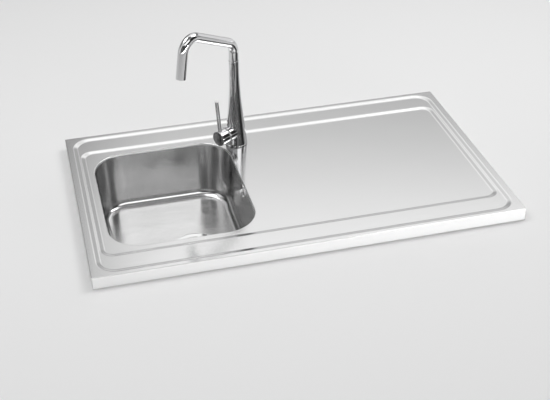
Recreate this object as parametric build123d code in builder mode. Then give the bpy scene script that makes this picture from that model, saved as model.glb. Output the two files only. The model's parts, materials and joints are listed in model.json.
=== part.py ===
from build123d import *

import os
from math import atan2, cos, degrees, hypot, pi, radians, sin, sqrt, tan

# A sit-on kitchen sink: a pressed stainless top with one welded bowl on the left, a plain
# drainboard on the right, a basket strainer waste with an overflow, and a single-lever
# mixer tap with a swivel spout.
#
# Millimetres. The origin is the middle of the sink in plan, on the plane of the cabinet's
# top edge that the sink rests on. +X runs to the drainboard, +Y to the wall, +Z up.

os.makedirs("parts", exist_ok=True)

# ---------------------------------------------------------------- driving dimensions

# pressed top
sink_length = 1000.0
sink_width = 600.0
lip_height = 28.6
sheet = 0.8
plan_corner_r = 3.0
lip_fold_r = 1.8
return_flange = 12.0
rim_side = 17.0
rim_front = 12.5
ledge_side = 4.5
ledge_front = 50.5
step_run = 9.5
step_drop = 3.0
step_blend_r = 12.0
upper_step_corner_r = 44.0
lower_step_corner_r = 30.0

# bowl, with the strips of deck left beside it and in front of it
bowl_end_margin = 15.75
bowl_front_margin = 18.0
bowl_length = 340.0
bowl_corner_r = 78.0
bowl_depth = 150.0
bowl_draft = 2.5
bowl_bottom_r = 18.0
bowl_edge_r = 2.0
collar_depth = 5.0
recess_brink_r = 1.0

# waste, placed from the bowl's wall beside the drainboard and from its middle line
drain_from_side = 127.95
drain_offset_y = -35.0
recess_r = 58.0
recess_depth = 2.6
drain_hole_r = 45.0
strainer_flange_r = 57.0
strainer_cup_r = 42.5
strainer_cup_depth = 34.0
strainer_cup_taper = 2.0
strainer_wall = 1.0
strainer_foot_bend_r = 4.0
strainer_lip_bend_r = 3.0
strainer_hole_count = 8
strainer_hole_r = 4.5
strainer_hole_ring_r = 20.0
gasket = 1.2
gasket_width = 8.0
waste_gasket = 2.0
basket_rim_r = 41.4
basket_rim_width = 2.6
basket_depth = 26.0
basket_taper = 3.9
basket_wall = 0.8
basket_foot_bend_r = 4.2
basket_rim_bend_r = 1.0
basket_hole_r = 2.6
basket_hole_ring_count = 3
basket_hole_ring_r = 12.0
basket_hole_ring_step = 7.0
basket_hole_pitch = 11.6
basket_knob_r = 8.0
basket_knob_height = 7.0
basket_knob_above_rim = 1.4
basket_post_r = 4.5
basket_rivet_r = 3.0
stopper_gap = 0.6
stopper_r = 29.0
stopper_edge_r = 1.5
bolt_r = 3.0
bolt_length = 16.0
bolt_head_r = 6.0
bolt_head = 3.0
bolt_slot = 1.2
bolt_clearance = 0.1
waste_flange_r = 54.0
waste_flange = 4.0
waste_depth = 62.0
waste_wall = 3.0
waste_cup_clearance = 1.0
waste_foot_bend_r = 5.0
waste_foot_drop = 4.0
waste_rib = 3.0
waste_rib_count = 3
waste_boss_r = 8.0
waste_inlet_drop = 46.0
outlet_r = 23.9
outlet_bore_r = 20.0
outlet_length = 26.0

# overflow
overflow_y = -6.0
overflow_below_deck = 24.0
overflow_hole_r = 14.0
rosette_r = 16.5
rosette_thickness = 1.6
rosette_edge = 0.9
rosette_slot_count = 6
rosette_slot_length = 7.0
rosette_slot_width = 3.2
rosette_slot_ring_r = 8.6
rosette_screw_r = 2.0
rosette_screw_head = 1.4
overflow_head_r = 18.5
overflow_head_body_r = 16.0
overflow_head_depth = 27.0
overflow_head_wall = 2.0
overflow_head_bend_r = 3.0
overflow_bar_width = 6.0
overflow_bar_depth = 11.0
rosette_screw_grip = 8.0
overflow_pipe_r = 10.0
overflow_pipe_bore_r = 8.0
overflow_pipe_offset = 15.0
overflow_pipe_bend_r = 34.0
spigot_length = 12.0
spigot_wall = 1.8
spigot_clearance = 0.05
shoulder_width = 1.5
shoulder_length = 6.0

# frame under the sheet
batten_inset = 15.0
batten_width = 38.0
batten_chamfer = 2.0
side_batten_width = 22.0
side_batten_lap = 6.0
channel_width = 40.0
channel_sheet = 1.2
channel_depth = 18.0
channel_crown = 20.0
channel_end_gap = 2.0
channel_beside_bowl = 123.75
channel_from_step = 59.5
pad = 2.0
pad_corner_r = 12.0
pad_drain_clearance = 3.2
drainer_pad_gap = 10.0
drainer_pad_length = 300.0
bowl_pad_side_margin = 50.0
bowl_pad_front_margin = 55.0
bracket_inset = 175.0
bracket_stagger = 40.0
bracket_width = 20.0
bracket_sheet = 2.0
bracket_drop = 30.0
bracket_corner_r = 3.0
bracket_hole_r = 2.25
bracket_hole_z = -18.0
bracket_screw_height = 6.0
bracket_screw_spacing = 11.0
bracket_screw_clearance = 0.3
screw_r = 1.9
screw_length = 14.0
screw_head_r = 3.6
screw_head = 1.8
screw_head_taper = 25.0

# tap, placed from the bowl's side and from the step behind it
tap_beside_bowl = 27.25
tap_from_step = 38.0
tap_hole_r = 17.5
tap_base_r = 28.0
tap_top_r = 12.7
tap_taper = 0.096
tap_taper_height = 106.0
tap_height = 226.0
base_ring = 2.4
base_ring_overhang = 0.4
base_ring_edge_r = 0.6
base_seal = 0.8
base_seal_inset = 1.5
shank_r = 16.5
shank_socket_depth = 12.0
shank_clearance = 0.5
shank_chamfer = 1.0
shank_bore_r = 12.0
shank_length = 62.0
inlet_r = 5.0
inlet_depth = 14.0
inlet_spacing = 12.0
waterway_above_cartridge = 6.0
backing_plate = 4.0
backing_plate_r = 36.0
backing_plate_chamfer = 2.0
rubber_washer = 3.0
rubber_washer_r = 27.0
steel_washer = 2.0
steel_washer_r = 29.0
nut_height = 9.0
nut_corner_r = 25.0
thread_clearance = 0.02

# spout
spout_angle = 215.0
spout_r = 12.1
spout_wall = 1.4
spout_riser = 276.6
spout_reach = 162.0
spout_peak = 355.6
spout_tip_reach = 181.5
spout_tip_height = 252.6
spout_bend_r = 33.5
collar_height = 6.0
collar_edge_r = 0.5
spout_gap = 0.4
stem_r = 8.7
stem_bore_r = 4.8
stem_length = 44.0
stem_plug = 14.0
stem_edge_r = 0.5
running_gap = 0.06
bush_wall = 1.6
bush_recess = 0.2
bearing_relief = 2.0
o_ring_r = 1.1
o_ring_height = 12.0
o_ring_spacing = 14.0
aerator_length = 14.0
aerator_wall = 1.2
aerator_recess = 3.0
aerator_hole_r = 0.9
aerator_hole_ring_r = 3.2
aerator_hole_ring_step = 3.4
aerator_hole_pitch = 3.4

# handle and cartridge
handle_angle = 213.0
handle_height = 36.8
handle_r = 19.6
handle_seam = 34.0
handle_face = 63.0
handle_tilt = 20.0
handle_tilt_spare = 1.5
handle_skirt = 25.0
handle_wall = 1.5
handle_edge_r = 0.8
handle_boss_back = 8.0
handle_stem_r = 3.5
handle_stem_cover = 7.5
ball_gap = 0.35
dome_wall = 1.5
dome_behind_pivot = 12.0
dome_before_pivot = 1.0
cartridge_r = 12.5
cartridge_clearance = 0.1
cartridge_base = 8.0
cartridge_neck_r = 11.0
cartridge_neck = 11.0
cartridge_nose_r = 10.0
cartridge_past_pivot = 3.3
cartridge_depth = 14.0
cartridge_nut = 8.0
cartridge_nut_flange = 3.5
cartridge_nut_relief = 0.3
selector_r = 8.0
selector_seat = 9.0
selector_end_gap = 0.3
selector_floor = 1.0
selector_slot_clearance = 0.3
pin_r = 1.5
pin_inset = 0.4
lever_r = 4.6
lever_place = 56.5
lever_lean = 5.0
lever_above = 88.0
lever_socket = 10.0
lever_edge_r = 0.8
grub_r = 2.5
grub_length = 6.0
grub_hex_r = 1.4
grub_hex_depth = 2.5
grub_from_tip = 3.3

# how near an edge lies to the plane or limit that it is picked by
near = 0.01

# ---------------------------------------------------------------- worked-out places

rim_z = lip_height
ledge_z = rim_z - step_drop
deck_z = ledge_z - step_drop
floor_z = deck_z - bowl_depth
collar_z = deck_z - collar_depth
under_ledge_z = ledge_z - sheet
under_deck_z = deck_z - sheet

upper_step_length = sink_length - 2 * rim_side
upper_step_width = sink_width - 2 * rim_front
lower_step_length = upper_step_length - 2 * (step_run + ledge_side)
lower_step_width = upper_step_width - 2 * (step_run + ledge_front)
deck_length = lower_step_length - 2 * step_run
deck_width = lower_step_width - 2 * step_run

bowl_width = deck_width - 2 * bowl_front_margin
bowl_x = bowl_end_margin + (bowl_length - deck_length) / 2
bowl_side_x = bowl_x + bowl_length / 2
drain_x = bowl_side_x - drain_from_side
drain_y = drain_offset_y
tap_x = bowl_side_x + tap_beside_bowl
tap_y = deck_width / 2 - tap_from_step

recess_z = floor_z - recess_depth
wall_lean = radians(bowl_draft)
overflow_z = deck_z - overflow_below_deck
overflow_x = bowl_side_x - (collar_z - overflow_z) * tan(wall_lean)


def upright(origin, angle):
    """A vertical plane whose X axis points out at a plan angle and whose Y axis points up."""
    out = (cos(radians(angle)), sin(radians(angle)), 0)
    return Plane(origin=origin, x_dir=out, z_dir=(out[1], -out[0], 0))


def outline(*corners):
    """A closed outline through corners (x, y), or (x, y, radius) where the corner is rounded."""
    radii = [corner[2] if len(corner) > 2 else 0 for corner in corners]
    return FilletPolyline([corner[:2] for corner in corners], radius=radii, close=True)


# ---------------------------------------------------------------- pressed top


def pressing(length, width, height, corner_r, fold_r):
    """The stepped top as a solid block; the sheet is one block less a smaller one."""
    steps = (
        (height, upper_step_length, upper_step_width, upper_step_corner_r),
        (height - step_drop, lower_step_length, lower_step_width, lower_step_corner_r),
    )
    with BuildPart() as block:
        with BuildSketch(Plane.XY):
            RectangleRounded(length, width, corner_r)
        extrude(amount=height)
        fillet(block.faces().sort_by(Axis.Z)[-1].edges(), fold_r)
        for top, step_length, step_width, step_r in steps:
            with BuildSketch(Plane.XY.offset(top)):
                RectangleRounded(step_length, step_width, step_r)
            with BuildSketch(Plane.XY.offset(top - step_drop)):
                RectangleRounded(step_length - 2 * step_run, step_width - 2 * step_run, step_r - step_run)
            loft(ruled=True, mode=Mode.SUBTRACT)
        bends = [
            edge
            for edge in block.edges()
            if edge.bounding_box().size.Z < near
            and edge.center().Z > height - 2 * step_drop - near
            and abs(edge.center().X) < upper_step_length / 2 + near
            and abs(edge.center().Y) < upper_step_width / 2 + near
        ]
        fillet(bends, step_blend_r)
    return block.part


top_block = pressing(sink_length, sink_width, rim_z, plan_corner_r, lip_fold_r)
under_block = pressing(
    sink_length - 2 * sheet, sink_width - 2 * sheet, rim_z - sheet, plan_corner_r - sheet, lip_fold_r - sheet
)

with BuildPart() as under_space:
    add(under_block)
    with BuildSketch(Plane.XY):
        RectangleRounded(sink_length, sink_width, plan_corner_r)
        RectangleRounded(
            sink_length - 2 * return_flange, sink_width - 2 * return_flange, plan_corner_r, mode=Mode.SUBTRACT
        )
    extrude(amount=sheet, mode=Mode.SUBTRACT)
    with BuildSketch(Plane.XY.offset(collar_z)):
        with Locations((bowl_x, 0)):
            RectangleRounded(bowl_length + 2 * sheet, bowl_width + 2 * sheet, bowl_corner_r + sheet)
    extrude(amount=collar_depth - sheet, mode=Mode.SUBTRACT)
    inner_bend = under_space.edges().filter_by_position(Axis.Z, under_deck_z - near, under_deck_z + near)
    inner_bend = [
        edge
        for edge in inner_bend
        if abs(edge.center().X - bowl_x) < bowl_length / 2 + 2 * sheet
        and abs(edge.center().Y) < bowl_width / 2 + 2 * sheet
    ]
    fillet(inner_bend, bowl_edge_r - sheet)

with BuildPart() as sink_top:
    add(top_block)
    add(under_space.part, mode=Mode.SUBTRACT)
    with BuildSketch(Plane.XY):
        with Locations((bowl_x, 0)):
            RectangleRounded(bowl_length, bowl_width, bowl_corner_r)
        with Locations((tap_x, tap_y)):
            Circle(tap_hole_r)
    extrude(amount=rim_z, mode=Mode.SUBTRACT)
    opening = [
        edge
        for edge in sink_top.edges().filter_by_position(Axis.Z, deck_z - near, deck_z + near)
        if abs(edge.center().X - bowl_x) < bowl_length / 2 + near and abs(edge.center().Y) < bowl_width / 2 + near
    ]
    fillet(opening, bowl_edge_r)

sink_top.part.label = "sink_top"
export_step(sink_top.part, "parts/sink_top.step")

# ---------------------------------------------------------------- bowl

# the frame of the overflow: its Z axis points into the bowl, square to the leaning wall
overflow_frame = Plane(
    origin=(overflow_x, overflow_y, overflow_z), x_dir=(0, -1, 0), z_dir=(-cos(wall_lean), 0, sin(wall_lean))
)


def bowl_block(extra, floor):
    """The drafted bowl as a solid: extra is the wall that stands outside the inner surface."""
    shrink = (collar_z - floor) * tan(wall_lean) - extra
    with BuildPart() as block:
        with BuildSketch(Plane.XY.offset(collar_z)):
            with Locations((bowl_x, 0)):
                RectangleRounded(bowl_length + 2 * extra, bowl_width + 2 * extra, bowl_corner_r + extra)
        with BuildSketch(Plane.XY.offset(floor)):
            with Locations((bowl_x, 0)):
                RectangleRounded(bowl_length - 2 * shrink, bowl_width - 2 * shrink, bowl_corner_r - shrink)
        loft(ruled=True)
        fillet(block.faces().sort_by(Axis.Z)[0].edges(), bowl_bottom_r + extra)
        with BuildSketch(Plane.XY.offset(floor - recess_depth)):
            with Locations((drain_x, drain_y)):
                Circle(recess_r + extra)
        extrude(amount=recess_depth + bowl_bottom_r / 2)
    return block.part


with BuildPart() as bowl:
    add(bowl_block(sheet, floor_z - sheet))
    add(bowl_block(0, floor_z), mode=Mode.SUBTRACT)
    with BuildSketch(Plane.XY.offset(recess_z - sheet)):
        with Locations((drain_x, drain_y)):
            Circle(drain_hole_r)
    extrude(amount=sheet, mode=Mode.SUBTRACT)
    with BuildSketch(overflow_frame.offset(-3 * sheet)):
        Circle(overflow_hole_r)
    extrude(amount=6 * sheet, mode=Mode.SUBTRACT)
    # the edge where the floor turns down into the recess
    brink = [
        edge
        for edge in bowl.edges().filter_by(GeomType.CIRCLE)
        if abs(edge.center().Z - floor_z) < near and abs(edge.radius - recess_r) < near
    ]
    fillet(brink, recess_brink_r)

bowl.part.label = "bowl"
export_step(bowl.part, "parts/bowl.step")

# ---------------------------------------------------------------- frame under the sheet

batten_y = sink_width / 2 - rim_front - step_run - ledge_front / 2
batten_reach = sink_length / 2 - batten_inset
side_batten_x = deck_length / 2 + side_batten_width / 2 - side_batten_lap
side_batten_y = batten_y - batten_width / 2
bracket_x = batten_reach - bracket_inset
bracket_screw_heights = (bracket_screw_height, bracket_screw_height + bracket_screw_spacing)
first_channel_x = bowl_side_x + channel_beside_bowl
last_channel_x = deck_length / 2 - channel_from_step
channel_places = (first_channel_x, (first_channel_x + last_channel_x) / 2, last_channel_x)
channel_spacing = channel_places[1] - channel_places[0]
drainer_pad_width = channel_spacing - channel_width - 2 * drainer_pad_gap


def inner_face(side):
    """The batten's face that looks at the middle of the sink; its Y axis is Z times side."""
    return Plane(origin=(0, side * side_batten_y, 0), x_dir=(1, 0, 0), z_dir=(0, -side, 0))


def bracket_places(side):
    """Where a batten's two brackets stand: the back pair is nearer the middle than the front pair."""
    reach = bracket_x - bracket_stagger if side > 0 else bracket_x
    return (-reach, reach)


def screw_spots(side):
    """Where the bracket screws enter a batten, on its inner face."""
    return [(x, side * z) for x in bracket_places(side) for z in bracket_screw_heights]


for side, name in ((-1, "batten_front"), (1, "batten_back")):
    with BuildPart() as batten:
        with BuildSketch(Plane.XY):
            with Locations((0, side * batten_y)):
                Rectangle(2 * batten_reach, batten_width)
        extrude(amount=under_ledge_z)
        chamfer(batten.edges().filter_by(Axis.Y).group_by(Axis.Z)[0], batten_chamfer)
        with BuildSketch(inner_face(side)):
            with Locations(*screw_spots(side)):
                Circle(screw_r)
        extrude(amount=-screw_length, mode=Mode.SUBTRACT)
    batten.part.label = name
    export_step(batten.part, "parts/" + name + ".step")

for side, name in ((-1, "batten_left"), (1, "batten_right")):
    with BuildPart() as side_batten:
        with BuildSketch(Plane.XY):
            with Locations((side * side_batten_x, 0)):
                Rectangle(side_batten_width, 2 * side_batten_y)
        extrude(amount=under_deck_z)
    side_batten.part.label = name
    export_step(side_batten.part, "parts/" + name + ".step")

for x, name in zip(channel_places, ("channel_left", "channel_middle", "channel_right")):
    with BuildPart() as channel:
        with BuildSketch(Plane.XZ.offset(-side_batten_y + channel_end_gap)):
            with Locations((x, under_deck_z - channel_sheet / 2)):
                Rectangle(channel_width, channel_sheet)
            with Locations((x, under_deck_z - channel_depth / 2)):
                Rectangle(channel_crown, channel_depth)
            with Locations((x, under_deck_z - (channel_depth - channel_sheet) / 2)):
                Rectangle(channel_crown - 2 * channel_sheet, channel_depth - channel_sheet, mode=Mode.SUBTRACT)
        extrude(amount=2 * (side_batten_y - channel_end_gap))
    channel.part.label = name
    export_step(channel.part, "parts/" + name + ".step")

for left, right, name in (
    (channel_places[0], channel_places[1], "drainer_pad_left"),
    (channel_places[1], channel_places[2], "drainer_pad_right"),
):
    with BuildPart() as drainer_pad:
        with BuildSketch(Plane.XY.offset(under_deck_z - pad)):
            with Locations(((left + right) / 2, 0)):
                RectangleRounded(drainer_pad_width, drainer_pad_length, pad_corner_r)
        extrude(amount=pad)
    drainer_pad.part.label = name
    export_step(drainer_pad.part, "parts/" + name + ".step")

with BuildPart() as bowl_pad:
    with BuildSketch(Plane.XY.offset(floor_z - sheet - pad)):
        with Locations((bowl_x, 0)):
            RectangleRounded(
                bowl_length - 2 * bowl_pad_side_margin, bowl_width - 2 * bowl_pad_front_margin, pad_corner_r
            )
        with Locations((drain_x, drain_y)):
            Circle(recess_r + pad_drain_clearance, mode=Mode.SUBTRACT)
    extrude(amount=pad)
bowl_pad.part.label = "bowl_pad"
export_step(bowl_pad.part, "parts/bowl_pad.step")

for side, row in ((-1, "front"), (1, "back")):
    for x, end in zip(bracket_places(side), ("left", "right")):
        with BuildPart() as bracket:
            with BuildSketch(inner_face(side)):
                with Locations((x, side * (under_deck_z - bracket_drop) / 2)):
                    RectangleRounded(bracket_width, under_deck_z + bracket_drop, bracket_corner_r)
                with Locations(*[(x, side * z) for z in bracket_screw_heights]):
                    Circle(screw_r + bracket_screw_clearance, mode=Mode.SUBTRACT)
                with Locations((x, side * bracket_hole_z)):
                    Circle(bracket_hole_r, mode=Mode.SUBTRACT)
            extrude(amount=bracket_sheet)
        bracket.part.label = "bracket_" + row + "_" + end
        export_step(bracket.part, "parts/bracket_" + row + "_" + end + ".step")

with BuildPart() as bracket_screws:
    for side in (-1, 1):
        with BuildSketch(inner_face(side).offset(-screw_length)):
            with Locations(*screw_spots(side)):
                Circle(screw_r)
        extrude(amount=screw_length + bracket_sheet)
        with BuildSketch(inner_face(side).offset(bracket_sheet)):
            with Locations(*screw_spots(side)):
                Circle(screw_head_r)
        extrude(amount=screw_head, taper=screw_head_taper)
bracket_screws.part.label = "bracket_screws"
export_step(bracket_screws.part, "parts/bracket_screws.step")

# ---------------------------------------------------------------- waste

drain_section = upright((drain_x, drain_y, recess_z), 0)
drain_axis = Axis((drain_x, drain_y, recess_z), (0, 0, 1))
# heights over the recess
flange_top = gasket + strainer_wall
cup_floor = strainer_wall - strainer_cup_depth
cup_foot_r = strainer_cup_r - strainer_cup_taper
housing_top = -sheet - waste_gasket
housing_r = strainer_cup_r + strainer_wall + waste_cup_clearance
housing_floor = -waste_depth
boss_floor = -strainer_cup_depth - bolt_length - bolt_head / 2
boss_top = -strainer_cup_depth - bolt_head / 2

with BuildPart() as strainer_cup:
    with BuildSketch(drain_section):
        with BuildLine():
            outline(
                (0, cup_floor),
                (cup_foot_r, cup_floor, strainer_foot_bend_r),
                (strainer_cup_r, flange_top, strainer_lip_bend_r),
                (strainer_flange_r, flange_top),
                (strainer_flange_r, gasket),
                (strainer_cup_r + strainer_wall, gasket, strainer_lip_bend_r - strainer_wall),
                (cup_foot_r + strainer_wall, -strainer_cup_depth, strainer_foot_bend_r + strainer_wall),
                (0, -strainer_cup_depth),
            )
        make_face()
    revolve(axis=drain_axis)
    with BuildSketch(Plane.XY.offset(recess_z - strainer_cup_depth)):
        with Locations((drain_x, drain_y)):
            Circle(bolt_r + bolt_clearance)
            with PolarLocations(strainer_hole_ring_r, strainer_hole_count):
                Circle(strainer_hole_r)
    extrude(amount=strainer_wall, mode=Mode.SUBTRACT)
strainer_cup.part.label = "strainer_cup"
export_step(strainer_cup.part, "parts/strainer_cup.step")

for bottom, top, name in ((0, gasket, "flange_gasket"), (housing_top, -sheet, "waste_gasket")):
    with BuildPart() as ring:
        with BuildSketch(Plane.XY.offset(recess_z + bottom)):
            with Locations((drain_x, drain_y)):
                Circle(waste_flange_r)
                Circle(waste_flange_r - gasket_width, mode=Mode.SUBTRACT)
        extrude(amount=top - bottom)
    ring.part.label = name
    export_step(ring.part, "parts/" + name + ".step")

basket_floor = -basket_depth
basket_mouth_r = basket_rim_r - basket_rim_width
basket_foot_r = basket_mouth_r - basket_taper

with BuildPart() as basket:
    with BuildSketch(drain_section):
        with BuildLine():
            outline(
                (0, basket_floor - basket_wall),
                (basket_foot_r, basket_floor - basket_wall, basket_foot_bend_r + basket_wall),
                (basket_mouth_r, 0, basket_rim_bend_r),
                (basket_rim_r, 0),
                (basket_rim_r, basket_wall),
                (basket_mouth_r - basket_wall, basket_wall, basket_rim_bend_r + basket_wall),
                (basket_foot_r - basket_wall, basket_floor, basket_foot_bend_r),
                (0, basket_floor),
            )
        make_face()
    revolve(axis=drain_axis)
    with BuildSketch(Plane.XY.offset(recess_z + basket_floor - basket_wall)):
        with Locations((drain_x, drain_y)):
            for ring in range(basket_hole_ring_count):
                ring_r = basket_hole_ring_r + ring * basket_hole_ring_step
                with PolarLocations(ring_r, int(2 * pi * ring_r / basket_hole_pitch)):
                    Circle(basket_hole_r)
            Circle(basket_rivet_r)
    extrude(amount=basket_wall, mode=Mode.SUBTRACT)
basket.part.label = "basket"
export_step(basket.part, "parts/basket.step")

knob_top = basket_wall + basket_knob_above_rim
knob_foot = knob_top - basket_knob_height

with BuildPart() as basket_knob:
    with BuildSketch(drain_section):
        with BuildLine():
            outline(
                (0, basket_floor - basket_wall),
                (basket_rivet_r, basket_floor - basket_wall),
                (basket_rivet_r, basket_floor),
                (basket_post_r, basket_floor),
                (basket_post_r, knob_foot - basket_knob_r + basket_post_r, basket_rim_bend_r),
                (basket_knob_r, knob_foot, basket_rim_bend_r),
                (basket_knob_r, knob_top - basket_knob_height / 5, basket_knob_height / 4),
                (0, knob_top),
            )
        make_face()
    revolve(axis=drain_axis)
basket_knob.part.label = "basket_knob"
export_step(basket_knob.part, "parts/basket_knob.step")

stopper_foot = cup_floor + stopper_gap

with BuildPart() as basket_stopper:
    with BuildSketch(drain_section):
        with BuildLine():
            outline(
                (0, stopper_foot + bolt_head),
                (bolt_head_r + stopper_edge_r, stopper_foot + bolt_head),
                (bolt_head_r + stopper_edge_r, stopper_foot),
                (stopper_r, stopper_foot, stopper_gap),
                (stopper_r, basket_floor - basket_wall, stopper_edge_r),
                (0, basket_floor - basket_wall),
            )
        make_face()
    revolve(axis=drain_axis)
basket_stopper.part.label = "basket_stopper"
export_step(basket_stopper.part, "parts/basket_stopper.step")

with BuildPart() as centre_bolt:
    with BuildSketch(drain_section):
        with BuildLine():
            outline(
                (0, -strainer_cup_depth - bolt_length),
                (bolt_r, -strainer_cup_depth - bolt_length),
                (bolt_r, cup_floor),
                (bolt_head_r, cup_floor),
                (bolt_head_r, cup_floor + bolt_head, bolt_slot),
                (0, cup_floor + bolt_head),
            )
        make_face()
    revolve(axis=drain_axis)
    with BuildSketch(Plane.XY.offset(recess_z + cup_floor + bolt_head - bolt_slot)):
        with Locations((drain_x, drain_y)):
            Rectangle(2 * bolt_head_r, bolt_slot)
    extrude(amount=bolt_slot, mode=Mode.SUBTRACT)
centre_bolt.part.label = "centre_bolt"
export_step(centre_bolt.part, "parts/centre_bolt.step")

# ---------------------------------------------------------------- waste housing and overflow

overflow_pipe_x = overflow_x + overflow_pipe_offset
pipe_angle = degrees(atan2(overflow_y - drain_y, overflow_pipe_x - drain_x))
pipe_reach = hypot(overflow_y - drain_y, overflow_pipe_x - drain_x)
spigot_r = overflow_pipe_bore_r - spigot_clearance
spigot_bore_r = spigot_r - spigot_wall
shoulder_r = overflow_pipe_r + shoulder_width
housing_shoulder = housing_r + waste_wall + shoulder_length
head_shoulder_z = overflow_z - overflow_head_body_r - shoulder_length
inlet_z = recess_z - waste_inlet_drop
pipe_plane = upright((drain_x, drain_y, inlet_z), pipe_angle)
inlet_frame = Plane(origin=pipe_plane.origin, x_dir=pipe_plane.z_dir, z_dir=pipe_plane.x_dir)

with BuildPart() as waste_housing:
    with BuildSketch(drain_section):
        with BuildLine():
            outline(
                (housing_r, housing_top),
                (waste_flange_r, housing_top),
                (waste_flange_r, housing_top - waste_flange, waste_cup_clearance),
                (housing_r + waste_wall, housing_top - 1.5 * waste_flange, waste_wall / 2),
                (housing_r + waste_wall, housing_floor, waste_foot_bend_r + waste_wall),
                (outlet_r, housing_floor - waste_foot_drop, waste_wall),
                (outlet_r, housing_floor - outlet_length),
                (outlet_bore_r, housing_floor - outlet_length),
                (outlet_bore_r, housing_floor + waste_wall - waste_foot_drop, waste_wall),
                (housing_r, housing_floor + waste_wall, waste_foot_bend_r),
            )
        make_face()
    revolve(axis=drain_axis)
    # the overflow inlet: a shoulder and a spigot on the side
    with BuildSketch(inlet_frame.offset(housing_r + waste_wall / 2)):
        Circle(shoulder_r)
    extrude(amount=housing_shoulder - housing_r - waste_wall / 2)
    with BuildSketch(inlet_frame.offset(housing_shoulder)):
        Circle(spigot_r)
    extrude(amount=spigot_length)
    with BuildSketch(inlet_frame.offset(housing_r - waste_wall)):
        Circle(spigot_bore_r)
    extrude(amount=housing_shoulder + spigot_length, mode=Mode.SUBTRACT)
    # the boss that the centre bolt pulls on, and the ribs that carry it
    with BuildSketch(Plane.XY.offset(recess_z + boss_floor)):
        with Locations((drain_x, drain_y)):
            Circle(waste_boss_r)
            with PolarLocations(0, waste_rib_count, start_angle=pipe_angle + 180 / waste_rib_count):
                with Locations((housing_r / 2, 0)):
                    Rectangle(housing_r + waste_wall / 2, waste_rib)
    extrude(amount=boss_top - boss_floor)
    with BuildSketch(Plane.XY.offset(recess_z + boss_floor)):
        with Locations((drain_x, drain_y)):
            Circle(bolt_r + thread_clearance)
    extrude(amount=boss_top - boss_floor, mode=Mode.SUBTRACT)
waste_housing.part.label = "waste_housing"
export_step(waste_housing.part, "parts/waste_housing.step")

overflow_out = Axis(overflow_frame.origin, overflow_frame.z_dir)

with BuildPart() as overflow_rosette:
    with BuildSketch(overflow_frame):
        Circle(rosette_r)
    extrude(amount=rosette_thickness)
    chamfer(overflow_rosette.faces().sort_by(overflow_out)[-1].edges(), rosette_edge)
    with BuildSketch(overflow_frame):
        with PolarLocations(rosette_slot_ring_r, rosette_slot_count):
            SlotOverall(rosette_slot_length, rosette_slot_width)
        Circle(rosette_screw_r + bolt_clearance)
    extrude(amount=rosette_thickness, mode=Mode.SUBTRACT)
overflow_rosette.part.label = "overflow_rosette"
export_step(overflow_rosette.part, "parts/overflow_rosette.step")

# depths behind the inner wall
head_front = -sheet - gasket
head_back = head_front - overflow_head_depth
bar_face = head_front - overflow_bar_depth
screw_tip = bar_face - rosette_screw_grip

with BuildPart() as overflow_screw:
    with BuildSketch(overflow_frame.offset(screw_tip)):
        Circle(rosette_screw_r)
    extrude(amount=rosette_thickness - screw_tip)
    with BuildSketch(overflow_frame.offset(rosette_thickness)):
        Circle(screw_head_r)
    extrude(amount=rosette_screw_head, taper=screw_head_taper)
overflow_screw.part.label = "overflow_screw"
export_step(overflow_screw.part, "parts/overflow_screw.step")

with BuildPart() as overflow_gasket:
    with BuildSketch(overflow_frame.offset(head_front)):
        Circle(overflow_head_r)
        Circle(overflow_hole_r, mode=Mode.SUBTRACT)
    extrude(amount=gasket)
overflow_gasket.part.label = "overflow_gasket"
export_step(overflow_gasket.part, "parts/overflow_gasket.step")

with BuildPart() as overflow_head:
    with BuildSketch(overflow_frame.offset(head_front)):
        Circle(overflow_head_r)
    extrude(amount=-overflow_head_wall)
    with BuildSketch(overflow_frame.offset(head_front)):
        Circle(overflow_head_body_r)
    extrude(amount=-overflow_head_depth)
    fillet(overflow_head.faces().sort_by(overflow_out)[0].edges(), overflow_head_bend_r)
    with BuildSketch(Plane.XY.offset(head_shoulder_z)):
        with Locations((overflow_pipe_x, overflow_y)):
            Circle(shoulder_r)
    extrude(amount=overflow_z - head_shoulder_z)
    with BuildSketch(overflow_frame.offset(head_front)):
        Circle(overflow_head_body_r - overflow_head_wall)
    extrude(amount=overflow_head_wall - overflow_head_depth, mode=Mode.SUBTRACT)
    # the spigot that the pipe is pushed on
    with BuildSketch(Plane.XY.offset(head_shoulder_z - spigot_length)):
        with Locations((overflow_pipe_x, overflow_y)):
            Circle(spigot_r)
    extrude(amount=spigot_length)
    with BuildSketch(Plane.XY.offset(head_shoulder_z - spigot_length)):
        with Locations((overflow_pipe_x, overflow_y)):
            Circle(spigot_bore_r)
    extrude(amount=overflow_z - head_shoulder_z + spigot_length, mode=Mode.SUBTRACT)
    # the bar that the rosette's screw pulls on
    with BuildSketch(overflow_frame.offset(bar_face)):
        Rectangle(2 * overflow_head_body_r - overflow_head_wall, overflow_bar_width)
    extrude(amount=head_back + overflow_head_wall / 2 - bar_face)
    with BuildSketch(overflow_frame.offset(screw_tip)):
        Circle(rosette_screw_r + thread_clearance)
    extrude(amount=rosette_screw_grip, mode=Mode.SUBTRACT)
overflow_head.part.label = "overflow_head"
export_step(overflow_head.part, "parts/overflow_head.step")

with BuildPart() as overflow_pipe:
    with BuildLine(pipe_plane) as pipe_path:
        FilletPolyline(
            (pipe_reach, head_shoulder_z - inlet_z),
            (pipe_reach, 0),
            (housing_shoulder, 0),
            radius=overflow_pipe_bend_r,
        )
    with BuildSketch(Plane(origin=pipe_path.line @ 0, z_dir=pipe_path.line % 0)):
        Circle(overflow_pipe_r)
        Circle(overflow_pipe_bore_r, mode=Mode.SUBTRACT)
    sweep()
overflow_pipe.part.label = "overflow_pipe"
export_step(overflow_pipe.part, "parts/overflow_pipe.step")

# ---------------------------------------------------------------- tap body and its fixing

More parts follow.
